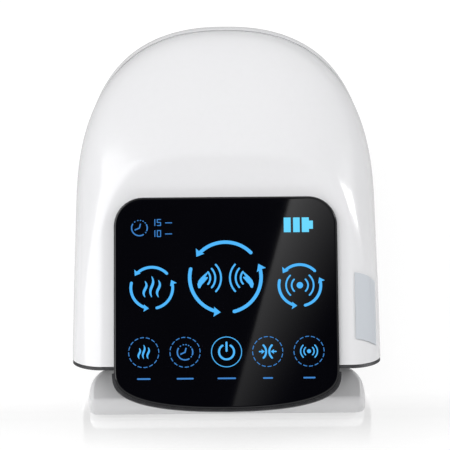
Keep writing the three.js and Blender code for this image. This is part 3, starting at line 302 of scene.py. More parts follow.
def lid_level(x, y):
    """Height of the deck plane, less the fall of the shoulders beside it."""
    return DECK_LIP[2] + (y - DECK_LIP[1]) * TILT_TAN - shoulder_fall(x) / TILT_COS


def implicit_reach(x, y):
    """Reach at which the outline passes through (x, y)."""
    behind = np.maximum(y - REAR_CENTRE, 0.0) / REAR_ROUND
    return ((np.abs(x) / HALF_WIDTH) ** PLAN_ORDER + behind**PLAN_ORDER) ** (1.0 / PLAN_ORDER)


def top_level(x, y, dome):
    """Lower of dome and lid. Where they differ by less than k the blend takes (k - gap)^2 / 4k off,
    and k follows how steeply they cross, so that the rounded edge is about as wide everywhere."""
    reach = np.clip(implicit_reach(x, y), 0.0, REACH_LIMIT)
    steep = (CROWN - WAIST) / HALF_WIDTH * reach ** (DOME_ORDER - 1.0)
    steep = steep * (1.0 - reach**DOME_ORDER) ** (1.0 / DOME_ORDER - 1.0)
    k = np.minimum(np.hypot(EDGE_SOFT_SIDE * steep, EDGE_SOFT * TILT_TAN), EDGE_SOFT_LIMIT)
    lid = lid_level(x, y)
    near = np.maximum(k - np.abs(dome - lid), 0.0)
    return np.minimum(dome, lid) - near * near / (4.0 * k)


# %% [markdown]
# ## The shell as one surface in two pieces
# A column of the grid goes up the wall from the rim to the crown; the columns go from the right
# leg's front edge back along the straight side, round the rear and forward along the left side.
# The front end of each row is the place where the surface meets the leaning mouth plane, found by
# repeating the step "height from place, place from height", which settles quickly. Beside the
# outer wall the mouth plane draws back along a quarter ellipse, which rounds the legs' front
# corners. The two mouldings part along a slanting plane; each column's crossing with it is found
# by halving.

# %% Columns of the shell grid
SIDE_COLUMNS = 46
KNEE_COLUMNS = 44
REAR_COLUMNS = 150
KNEE_Y = -12.0
CORNER_ACROSS, CORNER_DEEP = 18.0, 6.2
along_side = np.concatenate(
    [np.linspace(0.0, 1.0, SIDE_COLUMNS + 1), np.linspace(1.0, 2.0, KNEE_COLUMNS + 1)[1:]]
)
rear_turn = np.linspace(0.0, math.pi, REAR_COLUMNS + 2)[1:-1]
side_ones, rear_zeros = np.ones_like(along_side), np.zeros_like(rear_turn)
column_side = np.concatenate([side_ones, rear_zeros, -side_ones])
column_along = np.concatenate([along_side, rear_zeros, along_side[::-1]])
column_turn = np.concatenate([np.zeros_like(along_side), rear_turn, np.zeros_like(along_side)])
COLUMNS = len(column_side)
POLE_SHIFT = 18.0
POLE_FROM, POLE_OVER = 0.75, 0.15
MEETING_STEPS = 12
print("shell columns", COLUMNS)


def mouth_y(x, z, forward=0.0):
    """Front of a leg at a place across and a height: the leaning plane, drawn back by depth times
    1 - sqrt(1 - t^2), where t runs from 0 to 1 over the last stretch before the outer wall."""
    outer = HALF_WIDTH * np.interp(np.minimum(z, WAIST), wall_level, wall_reach)
    into_corner = np.clip((np.abs(x) - outer + CORNER_ACROSS) / CORNER_ACROSS, 0.0, 1.0)
    return rim_y(z, forward) + CORNER_DEEP * (1.0 - np.sqrt(1.0 - into_corner * into_corner))


def shell_points(run):
    """Points of the shell for arc lengths run (rows, columns), one column list for all rows.
    Towards the crown the arcs' centre moves back, so that they don't bunch on the deck's crease,
    and the height is then worked out again from the place."""
    run = np.broadcast_to(run, (run.shape[0], COLUMNS))
    reach = np.interp(run, wall_run, wall_reach)
    level = np.interp(run, wall_run, wall_level)
    exact = smooth_step((reach - POLE_FROM) / POLE_OVER)
    join_y = REAR_CENTRE + POLE_SHIFT * (1.0 - exact)
    side_x = column_side * HALF_WIDTH * reach
    front_y = mouth_y(side_x, level)
    for _ in range(MEETING_STEPS):
        dome = np.where(run < WAIST_RUN, level, np.minimum(level, top_level(side_x, front_y, level)))
        front_y = mouth_y(side_x, dome)
    first = np.minimum(column_along, 1.0)
    second = np.maximum(column_along - 1.0, 0.0)
    side_y = front_y + (KNEE_Y - front_y) * first + (join_y - KNEE_Y) * second
    across = signed_power(np.cos(column_turn), 2.0 / PLAN_ORDER)
    behind = np.abs(np.sin(column_turn)) ** (2.0 / PLAN_ORDER)
    rear_length = reach * (REAR_ROUND * exact + (REAR_ROUND - POLE_SHIFT) * (1.0 - exact))
    at_rear = column_side == 0.0
    x = np.where(at_rear, HALF_WIDTH * reach * across, side_x)
    y = np.where(at_rear, join_y + rear_length * behind, side_y)
    worked = WAIST + (CROWN - WAIST) * (
        1.0 - np.clip(implicit_reach(x, y), 0.0, 1.0) ** DOME_ORDER
    ) ** (1.0 / DOME_ORDER)
    dome = np.where(reach >= POLE_FROM + POLE_OVER, level, worked)
    z = np.where(run < WAIST_RUN, level, top_level(x, y, dome))
    return np.stack([x, y, z], axis=-1)


# %% Where the two mouldings part
PARTING_FRONT, PARTING_REAR = 32.0, 106.0
REAR_Y = REAR_CENTRE + REAR_ROUND
PARTING_SLOPE = (PARTING_REAR - PARTING_FRONT) / (REAR_Y - LEG_FRONT)
PARTING_GAP = 0.3
EDGE_REACH = 0.86
HALVINGS = 40


def parting_run(lift):
    """Arc length at which each column meets the parting plane, by halving the interval."""
    low = np.zeros((1, COLUMNS))
    high = np.full((1, COLUMNS), float(run_at_reach(EDGE_REACH)))
    for _ in range(HALVINGS):
        middle = (low + high) / 2.0
        place = shell_points(middle)
        plane = PARTING_FRONT + lift + (place[..., 1] - LEG_FRONT) * PARTING_SLOPE
        below = place[..., 2] < plane
        low = np.where(below, middle, low)
        high = np.where(below, high, middle)
    return (low + high) / 2.0


skirt_end = parting_run(-PARTING_GAP)
dome_start = parting_run(0.0)
print("parting at the rear", round(float(shell_points(dome_start)[0, COLUMNS // 2, 2]), 1), "mm up")

# %% Rows of the upper moulding
WALL_ROWS = 62
CROWN_REACH, CROWN_ROWS = 0.70, 38
REACH_BANDS = ((EDGE_REACH, 0.835, -0.0075), (0.835, 0.772, -0.006), (0.772, CROWN_REACH, -0.012))
wall_share = np.linspace(0.0, 1.0, WALL_ROWS + 1)[:-1, None]
crown_reach = np.linspace(CROWN_REACH, 0.0, CROWN_ROWS)
edge_reach = np.concatenate([np.arange(*band) for band in REACH_BANDS] + [crown_reach])
edge_run = run_at_reach(edge_reach)[:, None]
wall_rows = dome_start + (edge_run[0, 0] - dome_start) * wall_share
upper_rows = np.concatenate([wall_rows, np.broadcast_to(edge_run, (len(edge_run), COLUMNS))])
upper_points = shell_points(upper_rows)
upper_faces = grid_faces(*upper_points.shape[:2])

# %% [markdown]
# ## The window in the deck
# The panel's tray drops through a window in the deck. The window could be cut with a Boolean, but
# its outline is a simple rounded box, so the faces inside it are left out, and the last points
# that stay are moved onto the outline by their own distance to it. The panel's flange covers it.

# %% Open the window and make both mouldings
WINDOW_HALF = 62.7
WINDOW_TOP = 121.1
WINDOW_CORNER = 14.3


def window_distance(x, u):
    """Signed distance from the tray window, measured in the deck."""
    return rounded_box_distance(x, u, WINDOW_HALF, WINDOW_TOP, WINDOW_CORNER)


flat_points = upper_points.reshape(-1, 3)
deck_u = (flat_points[:, 1] - DECK_LIP[1]) / TILT_COS
gap = window_distance(flat_points[:, 0], deck_u)
in_window = gap < 0.0
kept_faces = upper_faces[~in_window[upper_faces].all(axis=1)]
moved = np.zeros(len(flat_points), bool)
moved[kept_faces.ravel()] = True
moved &= in_window
TINY = 1e-3
slope_x = (window_distance(flat_points[:, 0] + TINY, deck_u) - gap) / TINY
slope_u = (window_distance(flat_points[:, 0], deck_u + TINY) - gap) / TINY
snapped_x = flat_points[:, 0] - gap * slope_x
snapped_u = deck_u - gap * slope_u
flat_points[moved] = on_deck(snapped_x, snapped_u, 0.0)[moved]
used, renumbered = np.unique(kept_faces, return_inverse=True)
MOULD_EDGE = 0.4
shell_mesh = new_mesh("shell_dome", flat_points[used], renumbered.reshape(kept_faces.shape))
add_piece("shell_dome", shell_mesh, ["upper_shell"], SHELL_WALL, MOULD_EDGE)

# %% The rear skirt swells out behind the dome, so that the parting shows as a second line
SKIRT_ROWS = 52
ROW_GATHER = 1.7
BULGE = 2.8
BULGE_START, BULGE_LENGTH = 65.0, 45.0
SWELL_FROM, SWELL_OVER = 0.15, 0.6
TURN_FROM, TURN_OVER, TURN_SHARE = 0.88, 0.12, 0.7


def skirt_bulge(share, y):
    """How far the skirt stands out: a smooth swell with the share of its height, times 1 - 0.7 t^2 over
    its last eighth, which rounds it in to the parting, times a smooth start along the side."""
    turned_in = 1.0 - TURN_SHARE * np.clip((share - TURN_FROM) / TURN_OVER, 0.0, 1.0) ** 2
    swell = smooth_step((share - SWELL_FROM) / SWELL_OVER) * turned_in
    return BULGE * swell * smooth_step((y - BULGE_START) / BULGE_LENGTH)


def outwards(x, y):
    """Level direction square to the plan outline through a place: the slope of the implicit reach."""
    slope_x = np.sign(x) * (np.abs(x) / HALF_WIDTH) ** (PLAN_ORDER - 1.0) / HALF_WIDTH
    slope_y = (np.maximum(y - REAR_CENTRE, 0.0) / REAR_ROUND) ** (PLAN_ORDER - 1.0) / REAR_ROUND
    slope = np.stack([slope_x, slope_y, np.zeros_like(slope_x)], axis=-1)
    return slope / np.maximum(np.linalg.norm(slope, axis=-1, keepdims=True), 1e-9)


skirt_share = 1.0 - (1.0 - np.linspace(0.0, 1.0, SKIRT_ROWS)[:, None]) ** ROW_GATHER
skirt_points = shell_points(skirt_end * skirt_share)
skirt_x, skirt_y = skirt_points[..., 0], skirt_points[..., 1]
skirt_points = skirt_points + outwards(skirt_x, skirt_y) * skirt_bulge(skirt_share, skirt_y)[..., None]
skirt_mesh = grid_mesh("shell_skirt", skirt_points)
add_piece("shell_skirt", skirt_mesh, ["skirt_shell"], SHELL_WALL, MOULD_EDGE)

# %% [markdown]
# ## Flat rings: trim and bezel
# A dark ring closes the gap between shell and base, and a dark plate frames the hand mouth. Both
# are flat plates with a U-shaped outline, so each is its outline drawn out by its thickness, with
# a small bevel that catches the light.


# %% Outlines and plates
def pod_outline(half, rear, front_y, count=140):
    """Points from the right front corner round the rear to the left front corner."""
    angle = np.linspace(0.0, math.pi, count)
    across = signed_power(np.cos(angle), 2.0 / PLAN_ORDER)
    behind = np.abs(np.sin(angle)) ** (2.0 / PLAN_ORDER)
    arc = np.stack([half * across, REAR_CENTRE + rear * behind], axis=-1)
    return np.concatenate([[[half, front_y]], arc, [[-half, front_y]]])


def raised(outline, z):
    """An outline in plan, put at one height or at a height for each point."""
    return np.concatenate([outline, np.broadcast_to(np.reshape(z, (-1, 1)), (len(outline), 1))], axis=1)


TRIM_LOW, TRIM_TOP = 20.3, 23.7
TRIM_INSET = 0.2
rim_reach = float(wall_reach[0])
trim_half = HALF_WIDTH * rim_reach - TRIM_INSET
trim_rear = REAR_ROUND * rim_reach - TRIM_INSET
TRIM_WIDTH = 18.5
CORNER_POINTS = 16
corner_turn = np.linspace(0.0, math.pi / 2, CORNER_POINTS)
trim_corner = np.stack(
    [
        trim_half - CORNER_ACROSS + CORNER_ACROSS * np.sin(corner_turn),
        LEG_FRONT + CORNER_DEEP - CORNER_DEEP * np.cos(corner_turn),
    ],
    axis=-1,
)
u_shape = np.concatenate(
    [
        trim_corner,
        pod_outline(trim_half, trim_rear, LEG_FRONT)[1:-1],
        (trim_corner * MIRROR)[::-1],
        pod_outline(trim_half - TRIM_WIDTH, trim_rear - TRIM_WIDTH, LEG_FRONT)[::-1],
    ]
)
trim_mesh = new_mesh("trim_ring", *loft([raised(u_shape, TRIM_LOW), raised(u_shape, TRIM_TOP)]))
add_piece("trim_ring", trim_mesh, ["shell_trim"], edge=0.5)

# %% Bezel round the mouth: its outer edge is the shell's own front edge, drawn in a little
BEZEL_GAP = 0.3
BEZEL_THICK = 1.7
BEZEL_INSET = 0.2
EDGE_POINTS = 90
EDGE_SAMPLES = 500
STEP_POINTS = 5
ACROSS_POINTS = 40
MOUTH_POINTS = 40
MOUTH_HALF = 56.0
MOUTH_TOP = 64.5
MOUTH_CORNER = 13.0
TRAY_FLOOR = -7.3
STEP_SHARE = 0.06


def level_on_rim(h):
    """Height at which the mouth plane meets the plane h above the deck."""
    offset = DECK_LIP[2] + h / TILT_COS
    return (offset + (rim_y(0.0) - DECK_LIP[1]) * TILT_TAN) / (1.0 + LEAN * TILT_TAN)


def along_line(line, count, start=0.0, end=1.0):
    """Points at equal steps along a line, between two shares of its length."""
    length = np.concatenate([[0.0], np.cumsum(np.linalg.norm(np.diff(line, axis=0), axis=1))])
    at = np.linspace(start, end, count) * length[-1]
    return np.stack([np.interp(at, length, line[:, k]) for k in (0, 1)], axis=-1)


tray_z = level_on_rim(TRAY_FLOOR)
edge_runs = np.linspace(0.0, float(run_at_reach(WINDOW_HALF / HALF_WIDTH)), EDGE_SAMPLES)
front_edge = along_line(shell_points(edge_runs[:, None])[:, 0][:, [0, 2]], EDGE_POINTS)
edge_ahead = np.gradient(front_edge, axis=0)
edge_inwards = np.stack([-edge_ahead[:, 1], edge_ahead[:, 0]], axis=-1)
edge_inwards[front_edge[:, 1] < WAIST, 1] = 0.0
edge_inwards /= np.linalg.norm(edge_inwards, axis=1, keepdims=True)
front_edge = front_edge + edge_inwards * BEZEL_INSET
step_z = np.linspace(front_edge[-1, 1], tray_z, STEP_POINTS)
tray_step = np.stack([np.full(STEP_POINTS, WINDOW_HALF), step_z], axis=-1)
across_x = np.linspace(WINDOW_HALF, 0.0, ACROSS_POINTS)
tray_run = np.stack([across_x, np.full(ACROSS_POINTS, tray_z)], axis=-1)
outer_right = np.concatenate([front_edge[:-1], tray_step, tray_run[1:]])
mouth_angle = np.linspace(0.0, math.pi / 2, MOUTH_POINTS)
mouth_corner = np.stack(
    [
        MOUTH_HALF - MOUTH_CORNER + MOUTH_CORNER * np.cos(mouth_angle),
        MOUTH_TOP - MOUTH_CORNER + MOUTH_CORNER * np.sin(mouth_angle),
    ],
    axis=-1,
)
mouth_side = np.concatenate([[[MOUTH_HALF, RIM]], mouth_corner])
mouth_roof = np.array([[MOUTH_HALF - MOUTH_CORNER, MOUTH_TOP], [0.0, MOUTH_TOP]])
inner_right = np.concatenate(
    [
        along_line(mouth_side, EDGE_POINTS)[:-1],
        along_line(mouth_roof, STEP_POINTS, 0.0, STEP_SHARE),
        along_line(mouth_roof, ACROSS_POINTS, STEP_SHARE, 1.0)[1:],
    ]
)

# %% The bezel as a strip: outer edge paired with mouth edge, front and back
STRIP_ROWS, STRIP_START = 16, 0.11
outer_edge = np.concatenate([outer_right, (outer_right[:-1] * MIRROR)[::-1]])
mouth_edge = np.concatenate([inner_right, (inner_right[:-1] * MIRROR)[::-1]])
across_share = np.linspace(STRIP_START, 1.0, STRIP_ROWS)[None, :, None] ** 2
across_share = (across_share - across_share[:, :1]) / (1.0 - across_share[:, :1])
strip = outer_edge[:, None] + (mouth_edge - outer_edge)[:, None] * across_share
strip_x, strip_z = strip[..., 0], strip[..., 1]
front_y = mouth_y(strip_x, strip_z, BEZEL_GAP + BEZEL_THICK)
back_y = mouth_y(strip_x, strip_z, BEZEL_GAP)
strip_front = np.stack([strip_x, front_y, strip_z], axis=-1)
strip_back = np.stack([strip_x, back_y, strip_z], axis=-1)
bezel_mesh = new_mesh("mouth_bezel", *loft(np.concatenate([strip_front, strip_back[:, ::-1]], axis=1)))
add_piece("mouth_bezel", bezel_mesh, ["front_bezel"], edge=0.25)

# %% [markdown]
# ## The lower base and its feet
# The base is a shallow tub turned over, satin rather than glossy, whose front lip flares out under
# the panel. Its section is carried round one outline: up the outside, over a rounded top edge and
# in to a flat cap, with the hollow underneath. The charging hole at the rear is the one cut, so a
# Boolean with a rounded block makes it.


# %% Offsetting outlines and cutting
def twice_area(outline):
    """Twice the signed area of a closed outline: positive when it runs anticlockwise."""
    x, y = outline[:, 0], outline[:, 1]
    return np.sum(x * np.roll(y, -1) - np.roll(x, -1) * y)


def offset_outline(outline, inset):
    """A closed outline in plan moved inwards along its own normals, which are the tangents turned."""
    ahead = np.roll(outline, -1, axis=0) - np.roll(outline, 1, axis=0)
    ahead /= np.linalg.norm(ahead, axis=1, keepdims=True)
    inwards = np.stack([-ahead[:, 1], ahead[:, 0]], axis=-1)
    return outline + inwards * inset * np.sign(twice_area(outline))


def evenly_spaced(outline, count):
    """A closed outline taken again at equal steps along its length."""
    closed = np.concatenate([outline, outline[:1]])
    run = np.concatenate([[0.0], np.cumsum(np.linalg.norm(np.diff(closed, axis=0), axis=1))])
    at = np.linspace(0.0, run[-1], count, endpoint=False)
    return np.stack([np.interp(at, run, closed[:, k]) for k in range(outline.shape[1])], axis=-1)


def carved(mesh, cutter, operation="DIFFERENCE"):
    """The mesh after one exact Boolean with a second mesh, which is then thrown away."""
    target = bpy.data.objects.new("carve_target", mesh)
    tool = bpy.data.objects.new("carve_tool", cutter)
    for part in (target, tool):
        scene.collection.objects.link(part)
    change = target.modifiers.new("carve", "BOOLEAN")
    change.object = tool
    change.operation = operation
    change.solver = "EXACT"
    bpy.context.view_layer.update()
    shown = target.evaluated_get(bpy.context.evaluated_depsgraph_get())
    result = bpy.data.meshes.new_from_object(shown)
    result.name = mesh.name
    for part in (target, tool):
        bpy.data.objects.remove(part)
    result.shade_smooth()
    result.set_sharp_from_angle(angle=math.radians(SHARP))
    return result


# %% Lower base
BASE_HALF = 73.0
LIP_HALF = 82.7
LIP_Y = -96.5
FLARE_Y = -94.0
FLARE_X = 70.0
FLARE_WIDTH = 12.7
FLARE_LENGTH = 20.0
BASE_REAR = 101.0
BASE_LOW, BASE_TOP = 4.7, 20.0
BASE_WALL = 2.0
BASE_CHAMFER = 0.5
BASE_POINTS = 420
EDGE_RADIUS = 3.0
LIP_CORNER = 4.0
LIP_ROUND, LIP_DROP = 3.9, 11.0
LIP_FADE = 14.0


def base_outline():
    """Front lip with round corners, a quarter-ellipse flare, straight sides and a rear arc."""
    turn_in = np.linspace(-math.pi / 2, 0.0, 12)
    corner_x = LIP_HALF - LIP_CORNER + LIP_CORNER * np.cos(turn_in)
    corner_y = LIP_Y + LIP_CORNER + LIP_CORNER * np.sin(turn_in)
    corner = np.stack([corner_x, corner_y], axis=-1)
    flare_turn = np.linspace(0.0, math.acos((BASE_HALF - FLARE_X) / FLARE_WIDTH), 24)
    flare_x = FLARE_X + FLARE_WIDTH * np.cos(flare_turn)
    flare_y = LIP_Y + LIP_CORNER + FLARE_LENGTH * np.sin(flare_turn)
    flare = np.stack([flare_x, flare_y], axis=-1)
    arc = pod_outline(BASE_HALF, BASE_REAR, flare_y[-1])[1:-1]
    right = np.concatenate([corner, flare[1:]])
    left = (right * MIRROR)[::-1]
    return evenly_spaced(np.concatenate([right, arc, left]), BASE_POINTS)


base_plan = base_outline()
edge_turn = np.linspace(0.0, math.pi / 2, 10)
at_lip = smooth_step((FLARE_Y + LIP_FADE - base_plan[:, 1:]) / LIP_FADE)
edge_width = EDGE_RADIUS + (LIP_ROUND - EDGE_RADIUS) * at_lip
edge_drop = EDGE_RADIUS + (LIP_DROP - EDGE_RADIUS) * at_lip
base_section = [(BASE_WALL, BASE_TOP - BASE_WALL), (BASE_WALL, BASE_LOW)]
base_section += [(BASE_CHAMFER, BASE_LOW), (0.0, BASE_LOW + BASE_CHAMFER)]
base_section += [
    (edge_width * (1.0 - math.cos(a)), BASE_TOP - edge_drop * (1.0 - math.sin(a))) for a in edge_turn
]
base_loops = [raised(offset_outline(base_plan, inset), z) for inset, z in base_section]
base_mesh = new_mesh("base_tub", *loft(base_loops))

# %% Charging hole in the rear of the base
SOCKET_HALF, SOCKET_HIGH = 4.8, 2.0
SOCKET_LEVEL = 12.0
SLOT_ACROSS_POWER, SLOT_UP_POWER = 0.45, 0.55
SLOT_POINTS = 32
slot_turn = np.linspace(0.0, 2.0 * math.pi, SLOT_POINTS + 1)[:-1]
slot_x = SOCKET_HALF * signed_power(np.cos(slot_turn), SLOT_ACROSS_POWER)
slot_z = SOCKET_LEVEL + SOCKET_HIGH * signed_power(np.sin(slot_turn), SLOT_UP_POWER)
slot_loops = [np.stack([slot_x, np.full(SLOT_POINTS, y), slot_z], axis=-1) for y in (104.0, 118.0)]
base_mesh = carved(base_mesh, new_mesh("slot_cutter", *loft(slot_loops)))
add_piece("base_tub", base_mesh, ["lower_base"])

# %% Rubber feet, turned from a profile
FOOT_RADIUS = 9.0
FOOT_HEIGHT = 2.1
FOOT_SIDES = 64
foot_profile = np.array(
    [
        [0.0, 0.35],
        [6.2, 0.35],
        [6.9, 0.0],
        [8.3, 0.0],
        [8.8, 0.18],
        [FOOT_RADIUS, 0.6],
        [FOOT_RADIUS, 1.7],
        [8.7, FOOT_HEIGHT],
        [0.0, FOOT_HEIGHT],
    ]
)
foot_turn = np.linspace(0.0, 2.0 * math.pi, FOOT_SIDES, endpoint=False)
for number in range(1, 5):
    low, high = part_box(f"rubber_foot_{number}")
    middle = (low + high) / 2.0 / MM
    ring_x = middle.x + foot_profile[:, :1] * np.cos(foot_turn)
    ring_y = middle.y + foot_profile[:, :1] * np.sin(foot_turn)
    ring_z = np.broadcast_to(foot_profile[:, 1:], ring_x.shape)
    rings = np.stack([ring_x, ring_y, ring_z], axis=-1)
    foot_mesh = grid_mesh(f"foot_pad_{number}", rings, closed=True, sharp=SOFT_SHARP)
    add_piece(f"foot_pad_{number}", foot_mesh, [f"rubber_foot_{number}"])

# %% [markdown]
# ## The touch panel
# A black frame drops into the deck's window and carries a bevelled sheet of glass. The lower edge
# bows out over the mouth as a chin, whose underside slopes back to the bezel. One outline serves
# them all: straight sides, two round upper corners, and a lower edge that is a superellipse with a
# little sag. Frame and glass are that outline carried round small sections.

# %% Panel outline
PANEL_HALF = 65.6
PANEL_HIGH = 124.0
PANEL_CORNER = 18.0
LOWER_SAG = 5.5
LOWER_DEPTH = 20.0
LOWER_ORDER = 4.0
LOWER_POINTS = 121


def panel_outline(inset, count=360):
    """Closed outline in (x, u): the lower edge runs across as |sin|^(2/n), and rises by the sag and
    by depth times 1 - |cos|^(2/n); the upper corners are quarter circles."""
    half = PANEL_HALF - inset
    low = PANEL_LOW + inset
    high = PANEL_HIGH - inset
    radius = PANEL_CORNER - inset
    angle = np.linspace(-math.pi / 2, math.pi / 2, LOWER_POINTS)
    across = signed_power(np.sin(angle), 2.0 / LOWER_ORDER)
    rise = LOWER_DEPTH * (1.0 - np.abs(np.cos(angle)) ** (2.0 / LOWER_ORDER))
    lower = np.stack([half * across, low + LOWER_SAG * across * across + rise], axis=-1)
    quarter = np.linspace(0.0, math.pi / 2, CORNER_POINTS)
    rounded = radius * np.stack([np.cos(quarter), np.sin(quarter)], axis=-1)
    right = np.array([half - radius, high - radius]) + rounded
    left = (right * MIRROR)[::-1]
    return evenly_spaced(np.concatenate([lower, right, left]), count)


def deck_loop(inset, h):
    """The panel outline with an inset, laid at a height above the deck."""
    outline = panel_outline(inset)
    return on_deck(outline[:, 0], outline[:, 1], h)


# %% Frame with its tray
RIM_INSET = 1.2
tray_section = [
    (5.2, -5.0),
    (5.2, 0.9),
    (1.5, 0.9),
    (1.5, 1.75),
    (1.35, 1.85),
    (RIM_INSET, 1.7),
    (RIM_INSET, 0.15),
    (3.2, 0.15),
    (3.2, -7.0),
]
tray_mesh = new_mesh("panel_surround", *loft([deck_loop(i, h) for i, h in tray_section]))

# %% Chin under the lip
CHIN_BACK = 2.2
CHIN_TOP = 1.0
CHIN_DEEP = 7.2
CHIN_RISE = 3.4
CHIN_BACK_U = 30.0
CHIN_END_U = 21.0
CHIN_FINE, CHIN_END_POINTS = 720, 60
CHIN_SECTION = ((0.0, 0.0), (0.0, 0.72), (0.4, 0.88), (1.3, 0.97), (2.6, 1.0))


def chin_floor(u):
    """Height of the chin's underside above the deck: it deepens from the lip towards the bezel."""
    return -CHIN_DEEP + CHIN_RISE * np.clip((CHIN_BACK_U - u) / (CHIN_BACK_U - PANEL_LOW), 0.0, 1.0)


def chin_level(u, share):
    """Height above the deck at a share of the way from the chin's top down to its underside."""
    return CHIN_TOP + (chin_floor(u) - CHIN_TOP) * share


whole = panel_outline(0.0, CHIN_FINE)
front_part = whole[whole[:, 1] < CHIN_END_U]
front_part = front_part[np.argsort(front_part[:, 0])]


def chin_loop(inset, share):
    """The bowed front edge pulled in by an inset, closed along the bezel, at a share of the depth."""
    scale = (PANEL_HALF - inset) / PANEL_HALF
    x = front_part[:, 0] * scale
    u = front_part[:, 1] + inset * (CHIN_END_U - front_part[:, 1]) / CHIN_END_U
    end_x = np.linspace(x[-1], x[0], CHIN_END_POINTS)[1:-1]
    front = on_deck(x, u, chin_level(u, share))
    end = on_deck(end_x, CHIN_END_U, chin_level(CHIN_END_U, share))
    loop = np.concatenate([front, end])
    loop[:, 1] = np.minimum(loop[:, 1], rim_y(loop[:, 2], CHIN_BACK))
    return loop


chin_mesh = new_mesh("chin", *loft([chin_loop(inset, share) for inset, share in CHIN_SECTION]))
surround_mesh = carved(tray_mesh, chin_mesh, "UNION")
add_piece("panel_surround", surround_mesh, ["panel_frame"])

# %% Glass with a polished edge; the last narrow ring keeps the round out of the flat top's shading
glass_section = [(1.6, 1.2), (1.6, 2.1), (1.68, 2.3), (1.9, 2.44), (2.3, 2.5), (2.9, 2.5)]
glass_mesh = new_mesh("panel_glass_sheet", *loft([deck_loop(i, h) for i, h in glass_section]))
add_piece("panel_glass_sheet", glass_mesh, ["cover_glass"])

# %% [markdown]
# ## The lining of the hand space
# Inside the mouth is a pocket of knitted fabric over thin foam. It could be a box with rounded
# edges, but cloth over foam puckers between the places where it is held, so the pocket's surface
# gets shallow waves that grow from the mouth to the rear.

# %% Pocket surface
LINER_HALF = 57.5
LINER_LOW, LINER_HIGH = 25.1, 66.0
LINER_EDGE = 14.0
LINER_CENTRE = 44.0
LINER_ROUND = 44.0
LINER_WALL = 2.6
LINER_EASE = 0.4
LINER_FLAT_POINTS = 26
SIDE_STEPS = 60
ROUND_STEPS = 72

edge_curve = np.linspace(0.0, math.pi / 2, 14)
flat_share = np.linspace(0.0, 1.0 - LINER_EDGE / LINER_HALF, LINER_FLAT_POINTS)
low_edge = np.stack(
    [
        1.0 - LINER_EDGE / LINER_HALF * (1.0 - np.sin(edge_curve)),
        LINER_LOW + LINER_EDGE * (1.0 - np.cos(edge_curve)),
    ],
    axis=-1,
)
side_rise = np.linspace(LINER_LOW + LINER_EDGE, LINER_HIGH - LINER_EDGE, 8)[1:-1]
high_edge = (low_edge * np.array([1.0, -1.0]) + np.array([0.0, LINER_LOW + LINER_HIGH]))[::-1]
pocket_section = np.concatenate(
    [
        np.stack([flat_share, np.full_like(flat_share, LINER_LOW)], axis=-1)[:-1],
        low_edge,
        np.stack([np.ones_like(side_rise), side_rise], axis=-1),
        high_edge,
        np.stack([flat_share[::-1], np.full_like(flat_share, LINER_HIGH)], axis=-1)[1:],
    ]
)
share = pocket_section[:, :1]
height = pocket_section[:, 1:]
along = np.linspace(0.0, 1.0, SIDE_STEPS + 1)
round_turn = np.linspace(0.0, math.pi, ROUND_STEPS + 2)[1:-1]
pocket_front = rim_y(height)
side_y = pocket_front + (LINER_CENTRE - pocket_front) * along
side_x = LINER_HALF * share * np.ones_like(along)
round_x = LINER_HALF * share * np.cos(round_turn)
round_y = LINER_CENTRE + LINER_ROUND * share * np.sin(round_turn)
pocket_x = np.concatenate([side_x, round_x, -side_x], axis=1)
pocket_y = np.concatenate([side_y, round_y, side_y[:, ::-1]], axis=1)
pocket_z = np.broadcast_to(height, pocket_x.shape)

# %% Puckers: waves along the pocket that grow from the mouth to the rear and sway across it
POCKET_MIDDLE, POCKET_HALF_HEIGHT = 45.5, 20.5
WAVE_HEIGHT = 0.45
WAVE_FRONT, WAVE_GROWTH = -70.0, 60.0
WAVE_PITCH = 6.5
SWAY, SWAY_ACROSS, SWAY_UP = 1.3, 17.0, 11.0
inwards_z = (POCKET_MIDDLE - pocket_z) / POCKET_HALF_HEIGHT
inwards = np.stack([-pocket_x / LINER_HALF, 0.0 * pocket_x, inwards_z], axis=-1)
inwards /= np.maximum(np.linalg.norm(inwards, axis=-1, keepdims=True), 1e-6)
depth = smooth_step((pocket_y - WAVE_FRONT) / WAVE_GROWTH)
sway = SWAY * np.sin(pocket_x / SWAY_ACROSS + pocket_z / SWAY_UP)
waves = WAVE_HEIGHT * depth * (1.0 + np.sin(pocket_y / WAVE_PITCH + sway))
pocket = np.stack([pocket_x, pocket_y, pocket_z], axis=-1) + inwards * waves[..., None]
pocket_mesh = grid_mesh("hand_lining", pocket, sharp=SOFT_SHARP)
hand_lining = add_piece(
    "hand_lining", pocket_mesh, ["cavity_liner"], LINER_WALL - LINER_EASE
)

# %% [markdown]
# ## The airbags
# Three flat bags of coated film lie over the lining and squeeze the hand. A welded bag at rest is a
# slack pillow: full in the middle, thin at its welded rim, drawn in between the corners. A film bag
# this thin is easier to write down than to simulate.


# %% Pillows with a welded rim
PILLOW_POWER = 0.32
PILLOW_FULL, PILLOW_RIM = 0.92, 0.93
RIM_HALF = 0.18
DRAW_IN = 0.006
CREASE_SHARE = 0.10


